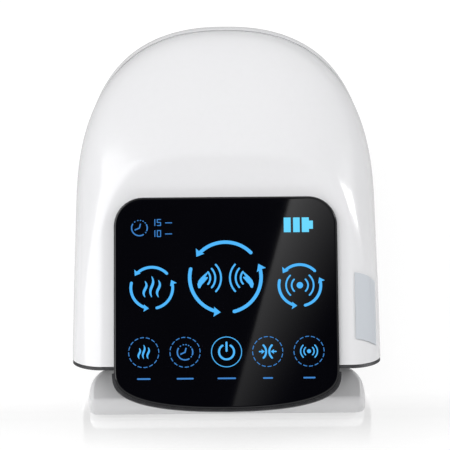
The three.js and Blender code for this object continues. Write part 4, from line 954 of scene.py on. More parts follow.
def pillow(name, low, high, thick):
    """Upper and lower sheets over a rounded rectangle: half-thickness is (1 - s^3) to the power 0.6
    of the share s from the middle, with long shallow creases, and the rim is drawn in a little."""
    angle = np.linspace(0.0, 2.0 * math.pi, 120, endpoint=False)
    out = np.concatenate([np.linspace(0.0, PILLOW_FULL, 18), np.linspace(0.94, 1.0, 4)])[:, None]
    centre = (low + high) / 2.0
    half = (high - low) / 2.0
    drawn = 1.0 - DRAW_IN * (1.0 + np.cos(4.0 * angle))
    x = centre[0] + half[0] * out * signed_power(np.cos(angle), PILLOW_POWER) * drawn
    y = centre[1] + half[1] * out * signed_power(np.sin(angle), PILLOW_POWER) * drawn
    swell = (1.0 - np.clip(out / PILLOW_RIM, 0.0, 1.0) ** 3.0) ** 0.6
    crease = 1.0 + CREASE_SHARE * np.sin(6.0 * angle + 0.7) * out
    top = thick / 2.0 * swell * crease + RIM_HALF
    upper = np.stack([x, y, np.broadcast_to(centre[2] + top, x.shape)], axis=-1)
    lower = np.stack([x, y, np.broadcast_to(centre[2] - top, x.shape)], axis=-1)
    return grid_mesh(name, np.concatenate([upper, lower[::-1]]), closed=True, sharp=SOFT_SHARP)


AIRBAG_LOW, AIRBAG_HIGH = 66.3, 70.4
AIRBAG_EASE = 0.4
for bag_name in ("wrist", "palm", "fingers"):
    low, high = (np.array(corner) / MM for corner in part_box(f"airbag_{bag_name}"))
    low[2], high[2] = AIRBAG_LOW, AIRBAG_HIGH
    bag_mesh = pillow(f"film_bag_{bag_name}", low, high, AIRBAG_HIGH - AIRBAG_LOW - AIRBAG_EASE)
    film_bag = add_piece(f"film_bag_{bag_name}", bag_mesh, [f"airbag_{bag_name}"])

# %% [markdown]
# ## The label
# A blank silver sticker wraps over the edge of the right shoulder. A sticker follows
# the surface under it, so it is a patch of the shell's own formula, lifted by a fraction of a
# millimetre along the surface's normal.

# %% Patch of the shell for the label
LABEL_OUTER, LABEL_INNER = 85.8, 74.0
LABEL_FRONT, LABEL_REAR = -87.0, -50.6
LABEL_LIFT = 0.3
LABEL_THICK = 0.3
LABEL_ROWS, LABEL_COLUMNS = 60, 40


def side_point(run, y):
    """A point of the right-hand wall at an arc length and a place along the side."""
    reach = np.interp(run, wall_run, wall_reach)
    level = np.interp(run, wall_run, wall_level)
    x = HALF_WIDTH * reach
    return np.stack([x, y, top_level(x, y, level)], axis=-1)


label_line = np.linspace(LABEL_FRONT, LABEL_REAR, LABEL_COLUMNS)
label_y = np.broadcast_to(label_line, (LABEL_ROWS, LABEL_COLUMNS))
label_start, label_end = run_at_reach(np.array([LABEL_OUTER, LABEL_INNER]) / HALF_WIDTH)
label_run = label_start + (label_end - label_start) * np.linspace(0.0, 1.0, LABEL_ROWS)[:, None]
label_run = np.broadcast_to(label_run, label_y.shape)
patch = side_point(label_run, label_y)
NUDGE = 0.05
along_run = side_point(label_run + NUDGE, label_y) - side_point(label_run - NUDGE, label_y)
along_y = side_point(label_run, label_y + NUDGE) - side_point(label_run, label_y - NUDGE)
normal = np.cross(along_y, along_run)
normal /= np.linalg.norm(normal, axis=-1, keepdims=True)
normal *= np.sign(normal[..., :1])
patch = patch + normal * (LABEL_LIFT + LABEL_THICK)
label_mesh = grid_mesh("side_label", patch)
add_piece("side_label", label_mesh, ["rating_label"], LABEL_THICK, 0.08, edge_steps=1)

# %% [markdown]
# ## The lit symbols
# The panel shows pictures of its functions in blue light. Each symbol is a set of strokes: a line
# in the plane of the glass, widened to both sides, with round ends. An arc, a wave or an arrow head
# is only another line, so the whole display is one short list. A plain bar stands under each key.


# %% Strokes
def arc_line(x, u, radius, start, end, count=40, stretch=1.0):
    """Points of an arc between two angles in degrees; stretch scales it along the slope."""
    angle = np.radians(np.linspace(start, end, count))
    return np.stack([x + radius * np.cos(angle), u + radius * stretch * np.sin(angle)], axis=-1)


def directions(line):
    """Unit tangents of a line, and the same turned a quarter to the left."""
    ahead = np.gradient(line, axis=0)
    ahead /= np.linalg.norm(ahead, axis=1, keepdims=True)
    return ahead, np.stack([-ahead[:, 1], ahead[:, 0]], axis=-1)


def tapered(line, width):
    """Outline of a line that is full in the middle and runs out to points: half-width sin(pi t)^0.6."""
    share = np.sin(np.linspace(0.02, 0.98, len(line)) * math.pi)[:, None] ** 0.6
    across = directions(line)[1] * width / 2.0 * share
    return np.concatenate([line + across, (line - across)[::-1]])


def stroke(line, width, cap=7):
    """Outline of a line widened by half its width along its normals, with a half circle at each end."""
    ahead, left = directions(line)
    across = left * width / 2.0
    turn_end = np.linspace(math.pi / 2, -math.pi / 2, cap + 2)[1:-1, None]
    end = line[-1] + across[-1] * np.sin(turn_end) + ahead[-1] * np.cos(turn_end) * width / 2.0
    start = line[0] - across[0] * np.sin(turn_end) - ahead[0] * np.cos(turn_end) * width / 2.0
    return np.concatenate([line + across, end, (line - across)[::-1], start])


HEAD_WING, HEAD_NOTCH = 0.72, 0.12
HEAD_TAIL, HEAD_TURN = 0.8, 0.3


def arrow_head(tip, angle, size):
    """Notched triangle whose tip looks along an angle in radians."""
    forward = np.array([math.cos(angle), math.sin(angle)])
    wing = np.array([-forward[1], forward[0]]) * size * HEAD_WING
    back = tip - forward * size
    return np.array([tip, back + wing, back + forward * size * HEAD_NOTCH, back - wing])


def arrow_arc(x, u, radius, start, end, width, head):
    """An arc that ends in an arrow head: two outlines."""
    tail = math.degrees(head * HEAD_TAIL / radius)
    tip = arc_line(x, u, radius, end - 1.0, end, 2)[-1]
    way = math.radians(end) + math.pi / 2 + head * HEAD_TURN / radius
    return [stroke(arc_line(x, u, radius, start, end - tail), width), arrow_head(tip, way, head)]


def dashed_ring(x, u, radius, dashes, width, filled=0.58):
    """A ring of short arcs."""
    step = 360.0 / dashes
    starts = np.arange(dashes) * step
    return [stroke(arc_line(x, u, radius, a, a + step * filled, 6), width, 3) for a in starts]


# %% Symbols
def heat_waves(x, u, size, width):
    """Three rising waves: x = a sin(2 pi t), u rises with t, the middle one higher."""
    t = np.linspace(-0.5, 0.5, 30)
    lines = []
    for place, lift, tall in ((-0.62, -0.12, 1.5), (0.0, 0.10, 1.95), (0.62, -0.08, 1.6)):
        wave_x = x + size * (place + 0.13 * np.sin(2 * math.pi * t))
        lines.append(tapered(np.stack([wave_x, u + size * (lift + tall * t)], axis=-1), width))
    return lines


def clock_face(x, u, radius, width):
    """An open ring, three dots where it is open, and two hands."""
    lines = [stroke(arc_line(x, u, radius, 150, 300), width), stroke(arc_line(x, u, radius, -20, 25), width)]
    lines += [stroke(arc_line(x, u, radius, a, a + 4, 3), width * 0.8) for a in (40, 60, 80, 100, 125, 322)]
    lines.append(stroke(np.array([[x - radius * 0.55, u - radius * 0.25], [x - 0.02, u]]), width))
    lines.append(stroke(np.array([[x, u], [x + radius * 0.12, u + radius * 0.5]]), width))
    return lines


def shake_symbol(x, u, dot, radii, width):
    """A dot between nested arcs."""
    lines = [arc_line(x, u, dot, 0, 360, 33)[:-1]]
    for radius in radii:
        lines.append(stroke(arc_line(x, u, radius, -46, 46), width))
        lines.append(stroke(arc_line(x, u, radius, 134, 226), width))
    return lines


PALM = np.array(
    [
        [-5.7, -5.6], [-6.2, -3.4], [-5.5, -1.2], [-4.0, 0.6], [-2.3, 2.2],
        [-0.6, 3.6], [0.0, 3.3], [-0.9, 2.0], [-1.7, 0.7], [-0.6, 0.9],
        [0.0, 0.5], [-1.0, -0.7], [-2.2, -2.2], [-3.6, -3.6], [-4.6, -5.6],
    ]
)
PALM_ARCS = ((5.4, 40), (8.3, 41), (11.6, 42))


def hand_side(x, u, side):
    """A cupped palm with a thumb, and three arcs that spread from it."""
    facing = np.array([side, 1.0])
    place = np.array([x, u])
    lines = [PALM * facing + place]
    for radius, half_angle in PALM_ARCS:
        line = arc_line(-4.2, 0.2, radius, -half_angle, half_angle, 30)
        lines.append(stroke(line * facing + place, 1.05))
    return lines


def turning_ring(x, u, radius, width, head):
    """Three arcs that chase each other round a ring."""
    parts = []
    for start, end in ((44, 144), (166, 262), (284, 382)):
        parts += arrow_arc(x, u, radius, start, end, width, head)
    return parts


KEY_U = 32.4
KEY_X = (-47.3, -23.7, 0.0, 23.5, 47.1)
KEY_RADIUS = 8.6
THIN = 0.46
BAR_U, BAR_WIDTH = 17.2, 0.9
BAR_HALVES = (3.4, 4.4, 4.8, 2.4, 3.0)
MIDDLE_RING, LEFT_RING, RIGHT_RING = (-0.3, 75.6), (-42.6, 69.8), (42.4, 70.6)
bright = []
bright += turning_ring(*MIDDLE_RING, 20.5, 2.0, 4.0)
bright += hand_side(-10.2, 75.0, 1.0) + hand_side(9.7, 75.0, -1.0)
bright += turning_ring(*LEFT_RING, 12.0, 1.6, 3.0)
bright += heat_waves(*LEFT_RING, 6.2, 1.5)
bright += turning_ring(*RIGHT_RING, 12.0, 1.6, 3.0)
bright += shake_symbol(*RIGHT_RING, 1.85, (4.7, 7.9), 0.95)
bright += heat_waves(KEY_X[0], KEY_U, 4.1, 1.15)
bright += [stroke(arc_line(KEY_X[2], KEY_U, 4.3, 122, 418, 60), 1.15)]
bright += [stroke(np.array([[KEY_X[2], KEY_U + 0.6], [KEY_X[2], KEY_U + 5.4]]), 1.15)]
bright += [stroke(arc_line(KEY_X[2], KEY_U, KEY_RADIUS, 0, 359.9, 90), THIN)]
bright += shake_symbol(KEY_X[4], KEY_U, 1.15, (2.9, 4.8), 0.7)
squeeze = np.array([KEY_X[3], KEY_U])
BOW_HALF = 46
for side, middle_angle, way in ((-1.0, 0, 0.0), (1.0, 180, math.pi)):
    bow = arc_line(side * 5.9, 0.0, 5.0, middle_angle - BOW_HALF, middle_angle + BOW_HALF, 20)
    stem = np.array([[side * 4.7, 0.0], [side * 2.9, 0.0]])
    bright.append(stroke(bow + squeeze, 1.1))
    bright.append(stroke(stem + squeeze, 0.8))
    bright.append(arrow_head(squeeze + np.array([side * 1.7, 0.0]), way, 1.9))

soft = clock_face(-49.6, 104.8, 4.5, 0.7)
soft += clock_face(KEY_X[1], KEY_U, 4.4, 0.75)
for place in (0, 1, 3, 4):
    soft += dashed_ring(KEY_X[place], KEY_U, KEY_RADIUS, 16, THIN)
for place, half in zip(KEY_X, BAR_HALVES):
    soft.append(stroke(np.array([[place - half, BAR_U], [place + half, BAR_U]]), BAR_WIDTH))

# %% Digits and the battery gauge
SEGMENTS = {"0": "abcdef", "1": "bc", "5": "afgcd"}
DIGIT_ENDS = {
    "a": ((0, 2), (1, 2)),
    "b": ((1, 2), (1, 1)),
    "c": ((1, 1), (1, 0)),
    "d": ((0, 0), (1, 0)),
    "e": ((0, 1), (0, 0)),
    "f": ((0, 2), (0, 1)),
    "g": ((0, 1), (1, 1)),
}
DIGIT_SIZE = np.array([1.9, 1.75])
DIGIT_LEFT, DIGIT_PITCH, DIGIT_STROKE = -42.6, 3.3, 0.5
DASH_LEFT, DASH_RIGHT, DASH_UP = -34.6, -31.0, 1.5
for text, base_u in (("15", 106.2), ("10", 99.7)):
    for position, digit in enumerate(text):
        corner = np.array([DIGIT_LEFT + position * DIGIT_PITCH, base_u])
        for segment in SEGMENTS[digit]:
            ends = np.array(DIGIT_ENDS[segment], float) * DIGIT_SIZE
            soft.append(stroke(ends + corner, DIGIT_STROKE, 3))
    dash_u = base_u + DASH_UP
    soft.append(stroke(np.array([[DASH_LEFT, dash_u], [DASH_RIGHT, dash_u]]), DIGIT_STROKE, 3))

GAUGE_LOW, GAUGE_HIGH = 101.6, 110.2
PIN_LOW, PIN_HIGH = GAUGE_LOW + 1.9, GAUGE_HIGH - 1.9
CELL_LEFT, CELL_RIGHT, PIN_RIGHT = 44.0, 48.1, 50.4
gauge = []
for left, right in ((33.6, 37.6), (39.0, 42.8)):
    gauge.append(np.array([[left, GAUGE_LOW], [right, GAUGE_LOW], [right, GAUGE_HIGH], [left, GAUGE_HIGH]]))
gauge.append(
    np.array(
        [
            [CELL_LEFT, GAUGE_LOW],
            [CELL_RIGHT, GAUGE_LOW],
            [CELL_RIGHT, PIN_LOW],
            [PIN_RIGHT, PIN_LOW],
            [PIN_RIGHT, PIN_HIGH],
            [CELL_RIGHT, PIN_HIGH],
            [CELL_RIGHT, GAUGE_HIGH],
            [CELL_LEFT, GAUGE_HIGH],
        ]
    )
)


def symbol_mesh(name, outlines, h):
    """Flat outlines as one mesh of many-sided faces, laid just above the glass and facing out."""
    points, faces, start = [], [], 0
    for outline in outlines:
        ring = outline if twice_area(outline) > 0 else outline[::-1]
        points.append(on_deck(ring[:, 0], ring[:, 1], h))
        faces.append(list(range(start, start + len(ring))))
        start += len(ring)
    mesh = bpy.data.meshes.new(name)
    mesh.from_pydata((np.concatenate(points) * MM).tolist(), [], faces)
    return mesh


SYMBOL_LEVEL, SYMBOL_THICK = 2.53, 0.04
for name, outlines in (("symbols_bright", bright), ("symbols_soft", soft), ("symbols_gauge", gauge)):
    add_piece(name, symbol_mesh(name, outlines, SYMBOL_LEVEL), wall=SYMBOL_THICK)

# %% [markdown]
# ## Finishes from shader nodes
# No picture files are used. Effects that several finishes share are node groups, built once: a fine
# moulded grain, settled dust, brushed lines and a knitted weave. A group puts out heights and masks
# only, and each material keeps its own shader and feeds its own values into the group.


# %% Node helpers
def add_node(tree, kind, values=None, **settings):
    """A node with its settings, and its inputs given as values or as sockets to link from."""
    made = tree.nodes.new(kind)
    for key, value in settings.items():
        setattr(made, key, value)
    for key, value in (values or {}).items():
        if isinstance(value, bpy.types.NodeSocket):
            tree.links.new(value, made.inputs[key])
        else:
            made.inputs[key].default_value = value
    return made


def new_group(name, inputs, outputs):
    """An empty shader node group with named number inputs and outputs, and its two end nodes."""
    group = bpy.data.node_groups.new(name, "ShaderNodeTree")
    for label, value in inputs.items():
        socket = group.interface.new_socket(name=label, in_out="INPUT", socket_type="NodeSocketFloat")
        socket.default_value = value
    for label in outputs:
        group.interface.new_socket(name=label, in_out="OUTPUT", socket_type="NodeSocketFloat")
    return group, group.nodes.new("NodeGroupInput"), group.nodes.new("NodeGroupOutput")


def calculate(tree, operation, *values):
    """One Math node over two or three values or sockets; its result socket."""
    return add_node(tree, "ShaderNodeMath", dict(enumerate(values)), operation=operation).outputs[0]


def place_in(tree):
    """Object coordinates, in metres."""
    return tree.nodes.new("ShaderNodeTexCoord").outputs["Object"]


def ranged(tree, value, start, end, low=0.0, high=1.0):
    """A value's stretch from start to end, laid onto low to high and held at both ends."""
    ends = {0: value, 1: start, 2: end, 3: low, 4: high}
    return add_node(tree, "ShaderNodeMapRange", ends, clamp=True).outputs[0]


def noise(tree, scale, detail, place=None):
    """Soft noise over object coordinates, or over others that are given."""
    place = place_in(tree) if place is None else place
    values = {"Vector": place, "Scale": scale, "Detail": detail}
    return add_node(tree, "ShaderNodeTexNoise", values).outputs[0]


def end_group(group, group_out, *results):
    """The group's outputs linked to results, in order."""
    for number, result in enumerate(results):
        group.links.new(result, group_out.inputs[number])


# %% Grain and dust
grain, grain_in, grain_out = new_group(
    "moulded_grain", {"Grain Scale": 900.0, "Mottle Scale": 14.0}, ["Height", "Mottle"]
)
fine = noise(grain, grain_in.outputs["Grain Scale"], 3.0)
broad = noise(grain, grain_in.outputs["Mottle Scale"], 2.0)
end_group(grain, grain_out, fine, broad)

dust, dust_in, dust_out = new_group("settled_dust", {"Speck Scale": 260.0, "Amount": 0.3}, ["Mask"])
surface_normal = dust.nodes.new("ShaderNodeNewGeometry").outputs["Normal"]
up = add_node(dust, "ShaderNodeSeparateXYZ", {0: surface_normal}).outputs[2]
facing = ranged(dust, up, 0.2, 1.0)
speckle = ranged(dust, noise(dust, dust_in.outputs["Speck Scale"], 4.0), 0.45, 0.75)
lying = calculate(dust, "MULTIPLY", facing, speckle)
end_group(dust, dust_out, calculate(dust, "MULTIPLY", lying, dust_in.outputs["Amount"]))

# %% Brushed lines and knitted weave
brushed, brushed_in, brushed_out = new_group(
    "brushed_lines", {"Line Scale": 60.0, "Stretch": 30.0}, ["Height", "Tone"]
)
squashed = brushed_in.outputs["Stretch"]
factors = add_node(brushed, "ShaderNodeCombineXYZ", {0: squashed, 1: 1.0, 2: squashed}).outputs[0]
spread = add_node(brushed, "ShaderNodeVectorMath", {0: place_in(brushed), 1: factors}, operation="MULTIPLY")
streak = noise(brushed, brushed_in.outputs["Line Scale"], 4.0, spread.outputs[0])
end_group(brushed, brushed_out, streak, ranged(brushed, streak, 0.3, 0.7))

GAP_LEVEL = 0.18
knit, knit_in, knit_out = new_group("knitted_weave", {"Loops Per Metre": 900.0}, ["Height", "Gaps"])
axes = add_node(knit, "ShaderNodeSeparateXYZ", {0: place_in(knit)}).outputs
turns = calculate(knit, "MULTIPLY", knit_in.outputs[0], 2.0 * math.pi)
around = calculate(knit, "ADD", axes[0], calculate(knit, "MULTIPLY", axes[2], 0.6))
course = calculate(knit, "SINE", calculate(knit, "MULTIPLY", axes[1], turns))
wale_turn = calculate(knit, "ADD", calculate(knit, "MULTIPLY", around, turns), course)
crossing = calculate(knit, "MULTIPLY", course, calculate(knit, "SINE", wale_turn))
loop_height = calculate(knit, "ADD", calculate(knit, "MULTIPLY", crossing, 0.5), 0.5)
end_group(knit, knit_out, loop_height, calculate(knit, "LESS_THAN", loop_height, GAP_LEVEL))
print("node groups", [g.name for g in bpy.data.node_groups])


# %% One way to start a material
def new_material(name):
    """A new material, its node tree and its Principled shader."""
    material = bpy.data.materials.new(name)
    material.use_nodes = True
    tree = material.node_tree
    return material, tree, tree.nodes["Principled BSDF"]


def feed(shader, **sources):
    """Shader inputs linked to sockets or set to values, by name; underscores stand for spaces."""
    for key, source in sources.items():
        socket = shader.inputs[key.replace("_", " ")]
        if isinstance(source, bpy.types.NodeSocket):
            shader.id_data.links.new(source, socket)
        else:
            socket.default_value = source


def use_group(tree, group, **values):
    """A group node with its inputs set by name; underscores stand for spaces."""
    made = tree.nodes.new("ShaderNodeGroup")
    made.node_tree = group
    for key, value in values.items():
        made.inputs[key.replace("_", " ")].default_value = value
    return made.outputs


def mix_colour(tree, mask, first, second):
    """Colour between two, by a mask socket."""
    mixed = add_node(tree, "ShaderNodeMix", {"Factor": mask}, data_type="RGBA")
    for index, colour in ((6, first), (7, second)):
        if isinstance(colour, bpy.types.NodeSocket):
            tree.links.new(colour, mixed.inputs[index])
        else:
            mixed.inputs[index].default_value = (*colour, 1.0)
    return mixed.outputs[2]


def spread_value(tree, mask, low, high):
    """A number between low and high, by a mask from 0 to 1."""
    return ranged(tree, mask, 0.0, 1.0, low, high)


def two_tone(shader, mask, dark, light, first, second, gloss_mask=None):
    """Colour between dark and light by a mask, and roughness between two values by it or by another."""
    tree = shader.id_data
    gloss = spread_value(tree, mask if gloss_mask is None else gloss_mask, first, second)
    feed(shader, Base_Color=mix_colour(tree, mask, dark, light), Roughness=gloss)


def bump(tree, shader, height, strength, distance):
    """A bump from a height socket; distance is in metres."""
    made = add_node(tree, "ShaderNodeBump", {"Height": height, "Strength": strength, "Distance": distance})
    feed(shader, Normal=made.outputs[0])


DUST_COLOUR = (0.55, 0.55, 0.54)


def moulded(name, colour, tone, rough, grain_scale, depth, dusty=0.25, coat=0.0, shine=0.5):
    """Moulded plastic: mottled colour, uneven gloss with a little dust, and a fine surface grain."""
    material, tree, shader = new_material(name)
    surface = use_group(tree, grain, Grain_Scale=grain_scale)
    settled = use_group(tree, dust, Amount=dusty)["Mask"]
    base = mix_colour(tree, surface["Mottle"], colour, tone)
    gloss = spread_value(tree, surface["Mottle"], rough * 0.85, rough * 1.15)
    dulled = calculate(tree, "ADD", gloss, calculate(tree, "MULTIPLY", settled, 0.3))
    feed(shader, Base_Color=mix_colour(tree, settled, base, DUST_COLOUR), Roughness=dulled)
    feed(shader, Coat_Weight=coat, Coat_Roughness=0.05, Specular_IOR_Level=shine)
    bump(tree, shader, surface["Height"], 0.25, depth)
    return material


# %% [markdown]
# ## The finishes of this object
# The shell is white gloss plastic with a hard clear skin, the base a satin white. Trim, panel frame
# and feet are dark and finely textured. The glass is printed black from behind, so it is a black
# mirror with faint smears. Inside are boards, metal, foil and film.

# %% Outer finishes
shell_white = moulded(
    "shell_white", (0.80, 0.80, 0.815), (0.775, 0.775, 0.79), 0.22, 240.0, 2e-5, dusty=0.03, coat=0.35
)
base_white = moulded("base_white", (0.74, 0.74, 0.75), (0.70, 0.70, 0.71), 0.38, 1400.0, 3e-5, dusty=0.06)
dark_trim = moulded(
    "dark_trim", (0.022, 0.022, 0.025), (0.030, 0.030, 0.033), 0.42, 1800.0, 4e-5, dusty=0.04, shine=0.3
)
rubber = moulded("rubber", (0.020, 0.020, 0.021), (0.032, 0.032, 0.032), 0.78, 2200.0, 6e-5, dusty=0.3)
inner_plastic = moulded(
    "inner_plastic", (0.62, 0.63, 0.65), (0.57, 0.58, 0.60), 0.5, 1200.0, 4e-5, dusty=0.2
)
black_part = moulded(
    "black_part", (0.012, 0.012, 0.014), (0.020, 0.020, 0.022), 0.45, 1500.0, 4e-5, dusty=0.3
)

panel_glass, tree, shader = new_material("panel_glass")
smear = use_group(tree, grain, Grain_Scale=60.0, Mottle_Scale=22.0)["Mottle"]
two_tone(shader, smear, (0.0012, 0.0012, 0.0022), (0.0022, 0.0022, 0.0036), 0.012, 0.04)
feed(shader, IOR=1.5)


# %% Light through the printed symbols
def lit(name, dark, light):
    """Light through a printed symbol: an even glow, a little uneven along the guide behind it."""
    material, tree, shader = new_material(name)
    uneven = use_group(tree, grain, Grain_Scale=500.0, Mottle_Scale=40.0)["Mottle"]
    print_colour = mix_colour(tree, uneven, (0.002, 0.004, 0.008), (0.003, 0.006, 0.012))
    feed(shader, Emission_Color=mix_colour(tree, uneven, dark, light), Base_Color=print_colour)
    feed(shader, Emission_Strength=1.0, Roughness=0.3)
    return material


bright_light = lit("bright_light", (0.050, 0.42, 0.93), (0.078, 0.50, 1.0))
soft_light = lit("soft_light", (0.030, 0.18, 0.52), (0.045, 0.25, 0.66))
gauge_light = lit("gauge_light", (0.11, 0.62, 0.98), (0.15, 0.72, 1.0))


# %% Metals and foils
def brushed_metal(name, dark, light, rough, metal=1.0, line_scale=60.0):
    """Brushed metal: streaks change its tone and gloss and lift its surface a little."""
    material, tree, shader = new_material(name)
    streaks = use_group(tree, brushed, Line_Scale=line_scale)
    two_tone(shader, streaks["Tone"], dark, light, rough * 0.7, rough * 1.3)
    feed(shader, Metallic=metal)
    bump(tree, shader, streaks["Height"], 0.2, 3e-5)
    return material


steel = brushed_metal("steel", (0.42, 0.43, 0.45), (0.60, 0.61, 0.63), 0.32)
brass = brushed_metal("brass", (0.50, 0.34, 0.10), (0.68, 0.48, 0.17), 0.30)
label_foil = moulded("label_foil", (0.60, 0.63, 0.67), (0.55, 0.58, 0.62), 0.35, 800.0, 2e-5, dusty=0.0)
battery_foil = brushed_metal("battery_foil", (0.36, 0.40, 0.46), (0.52, 0.56, 0.62), 0.38, 0.7, 25.0)

# %% Fabric, film and hose
liner_fabric, tree, shader = new_material("liner_fabric")
weave = use_group(tree, knit, Loops_Per_Metre=620.0)
fluff = use_group(tree, grain, Grain_Scale=1500.0, Mottle_Scale=30.0)["Mottle"]
# Painted shade: the yarn is darker where the weave lies low and nearly black in the gaps between loops; the
# fluff mix on top is a random tone.
yarn = mix_colour(tree, weave["Height"], (0.16, 0.165, 0.175), (0.30, 0.305, 0.32))
yarn = mix_colour(tree, fluff, yarn, (0.24, 0.245, 0.26))
cloth = mix_colour(tree, weave["Gaps"], yarn, (0.07, 0.07, 0.075))
feed(shader, Base_Color=cloth, Roughness=0.9, Sheen_Weight=0.3)
bump(tree, shader, weave["Height"], 0.6, 5e-4)

bag_film, tree, shader = new_material("bag_film")
wrinkle = use_group(tree, grain, Grain_Scale=110.0, Mottle_Scale=30.0)
film_tones = ((0.035, 0.038, 0.045), (0.065, 0.070, 0.080))
two_tone(shader, wrinkle["Mottle"], *film_tones, 0.35, 0.65, wrinkle["Height"])
bump(tree, shader, wrinkle["Height"], 0.5, 6e-4)

heat_film, tree, shader = new_material("heat_film")
wave_values = {"Vector": place_in(tree), "Scale": 42.0, "Distortion": 1.5}
trace = add_node(tree, "ShaderNodeTexWave", wave_values, bands_direction="Y")
on_trace = calculate(tree, "GREATER_THAN", trace.outputs["Fac"], 0.55)
two_tone(shader, on_trace, (0.45, 0.17, 0.02), (0.60, 0.28, 0.10), 0.35, 0.22)
bump(tree, shader, on_trace, 0.3, 5e-5)

clear_hose, tree, shader = new_material("clear_hose")
cloud = use_group(tree, grain, Grain_Scale=300.0, Mottle_Scale=60.0)["Mottle"]
two_tone(shader, cloud, (0.74, 0.77, 0.79), (0.86, 0.88, 0.90), 0.22, 0.36)
feed(shader, Transmission_Weight=0.5, IOR=1.42)

# %% Light guide and circuit board
light_plate, tree, shader = new_material("light_guide")
frost = use_group(tree, grain, Grain_Scale=700.0, Mottle_Scale=25.0)
two_tone(shader, frost["Mottle"], (0.25, 0.52, 0.80), (0.34, 0.62, 0.88), 0.35, 0.6, frost["Height"])


def board_cells(tree, scale, **settings):
    """Distance over a Voronoi pattern on the board."""
    values = {"Vector": place_in(tree), "Scale": scale}
    return add_node(tree, "ShaderNodeTexVoronoi", values, **settings).outputs["Distance"]


circuit_board, tree, shader = new_material("circuit_board")
track_distance = board_cells(tree, 210.0, distance="MANHATTAN", feature="DISTANCE_TO_EDGE")
pad_distance = board_cells(tree, 420.0, distance="CHEBYCHEV")
copper = calculate(tree, "LESS_THAN", track_distance, 0.055)
pads = calculate(tree, "LESS_THAN", pad_distance, 0.16)
lacquer = mix_colour(tree, copper, (0.006, 0.085, 0.028), (0.020, 0.16, 0.055))
two_tone(shader, pads, lacquer, (0.42, 0.42, 0.38), 0.35, 0.25)
bump(tree, shader, copper, 0.3, 4e-5)


# %% Give every piece its finish
def numbered(kind, count):
    """The names kind_1 to kind_count."""
    return [f"{kind}_{n}" for n in range(1, count + 1)]


pieces_by_material = {
    shell_white: ["shell_dome", "shell_skirt"],
    base_white: ["base_tub", "bottom_cover"],
    dark_trim: ["trim_ring", "mouth_bezel", "panel_surround"],
    panel_glass: ["panel_glass_sheet"],
    bright_light: ["symbols_bright"],
    soft_light: ["symbols_soft"],
    gauge_light: ["symbols_gauge"],
    light_plate: ["light_guide"],
    label_foil: ["side_label"],
    rubber: ["pump_diaphragm"] + numbered("foot_pad", 4),
    liner_fabric: ["hand_lining"],
    bag_film: ["film_bag_wrist", "film_bag_palm", "film_bag_fingers"],
    circuit_board: ["touch_board", "main_board"],
    inner_plastic: ["chassis_plate", "palm_plate", "pump_cap", "pump_housing", "air_manifold"],
    black_part: ["buzzer", "panel_ribbon", "wire_harness", "pump_cradle"] + numbered("vibration_clamp", 2),
    steel: ["pump_motor", "charge_socket"] + numbered("valve_body", 2) + numbered("valve_spring", 2),
    brass: ["pump_crank"] + numbered("valve_plunger", 2) + numbered("vibration_weight", 2),
    heat_film: ["heating_film"],
    battery_foil: numbered("battery_cell", 2),
    clear_hose: ["air_hose_main"] + numbered("air_hose", 3),
}
pieces_by_material[steel] += numbered("cover_screw", 4) + numbered("body_screw", 4)
pieces_by_material[steel] += numbered("vibration_motor", 2)


def give(piece, material):
    """The material in every slot of a piece, or in a first one."""
    if not piece.data.materials:
        piece.data.materials.append(material)
    for index in range(len(piece.data.materials)):
        piece.data.materials[index] = material


for material, names in pieces_by_material.items():
    for name in names:
        give(bpy.data.objects[name], material)
replaced_nodes = {n for piece in bpy.data.objects for n in piece.get("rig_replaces", [])}
given = {name for names in pieces_by_material.values() for name in names}
print("nodes without a finish:", sorted(set(nodes) - replaced_nodes - given))

# %% [markdown]
# ## Floor, backdrop and light
# The object stands on a plain glossy white table. To the camera the table is white, with a faint
# shadow and a soft mirror image of the base that dies away a little in front of the object. In the
# object's own reflections the table is darker, most of all behind the object, and less light comes
# from behind it: both draw the dark edges of the glossy shell. Straight overhead the room is black
# in mirrors, so that the glass stays black, and a bright card puts the slanting gleam on it. A
# white surface that looked white only because of strong lamps would bleach the shell, so the lamps
# stay plain.


# %% Table
def set_out(name, points, faces):
    """A plain surface in the scene, from points in millimetres."""
    mesh = bpy.data.meshes.new(name)
    mesh.from_pydata((np.asarray(points, float).reshape(-1, 3) * MM).tolist(), [], faces)
    made = bpy.data.objects.new(name, mesh)
    scene.collection.objects.link(made)
    return made


FLOOR_HALF = 2500.0
FLOOR_LINES = 41
TABLE_DROP = 0.02
floor_line = np.linspace(-FLOOR_HALF, FLOOR_HALF, FLOOR_LINES)
floor_x, floor_y = np.meshgrid(floor_line, floor_line)
floor_points = np.stack([floor_x, floor_y, np.full_like(floor_x, -TABLE_DROP)], axis=-1)
table = set_out("table", floor_points, grid_faces(FLOOR_LINES, FLOOR_LINES).tolist())


# %% Finish of the table; the places where it changes are in metres along y
def grey(value):
    """A colour without a hue."""
    return (value, value, value)


def mix_shaders(tree, share, first, second):
    """Shader between two, by a share from 0 to 1."""
    return add_node(tree, "ShaderNodeMixShader", {0: share, 1: first, 2: second}).outputs[0]


WHITE = (1.0, 1.0, 1.0, 1.0)
TABLE_GLOW, TABLE_MATT = 0.84, 0.21
BEHIND = (0.02, 0.2)
DROP_IN_FRONT, DROP_BEHIND = -0.36, -0.62
MATT_IN_FRONT, MATT_BEHIND = 0.8, 0.3
MIRROR_STARTS = (-0.117, -0.097)
MIRROR_ENDS = (-0.092, -0.080)
MIRROR_SHARE, MIRROR_ROUGH = 0.25, 0.05

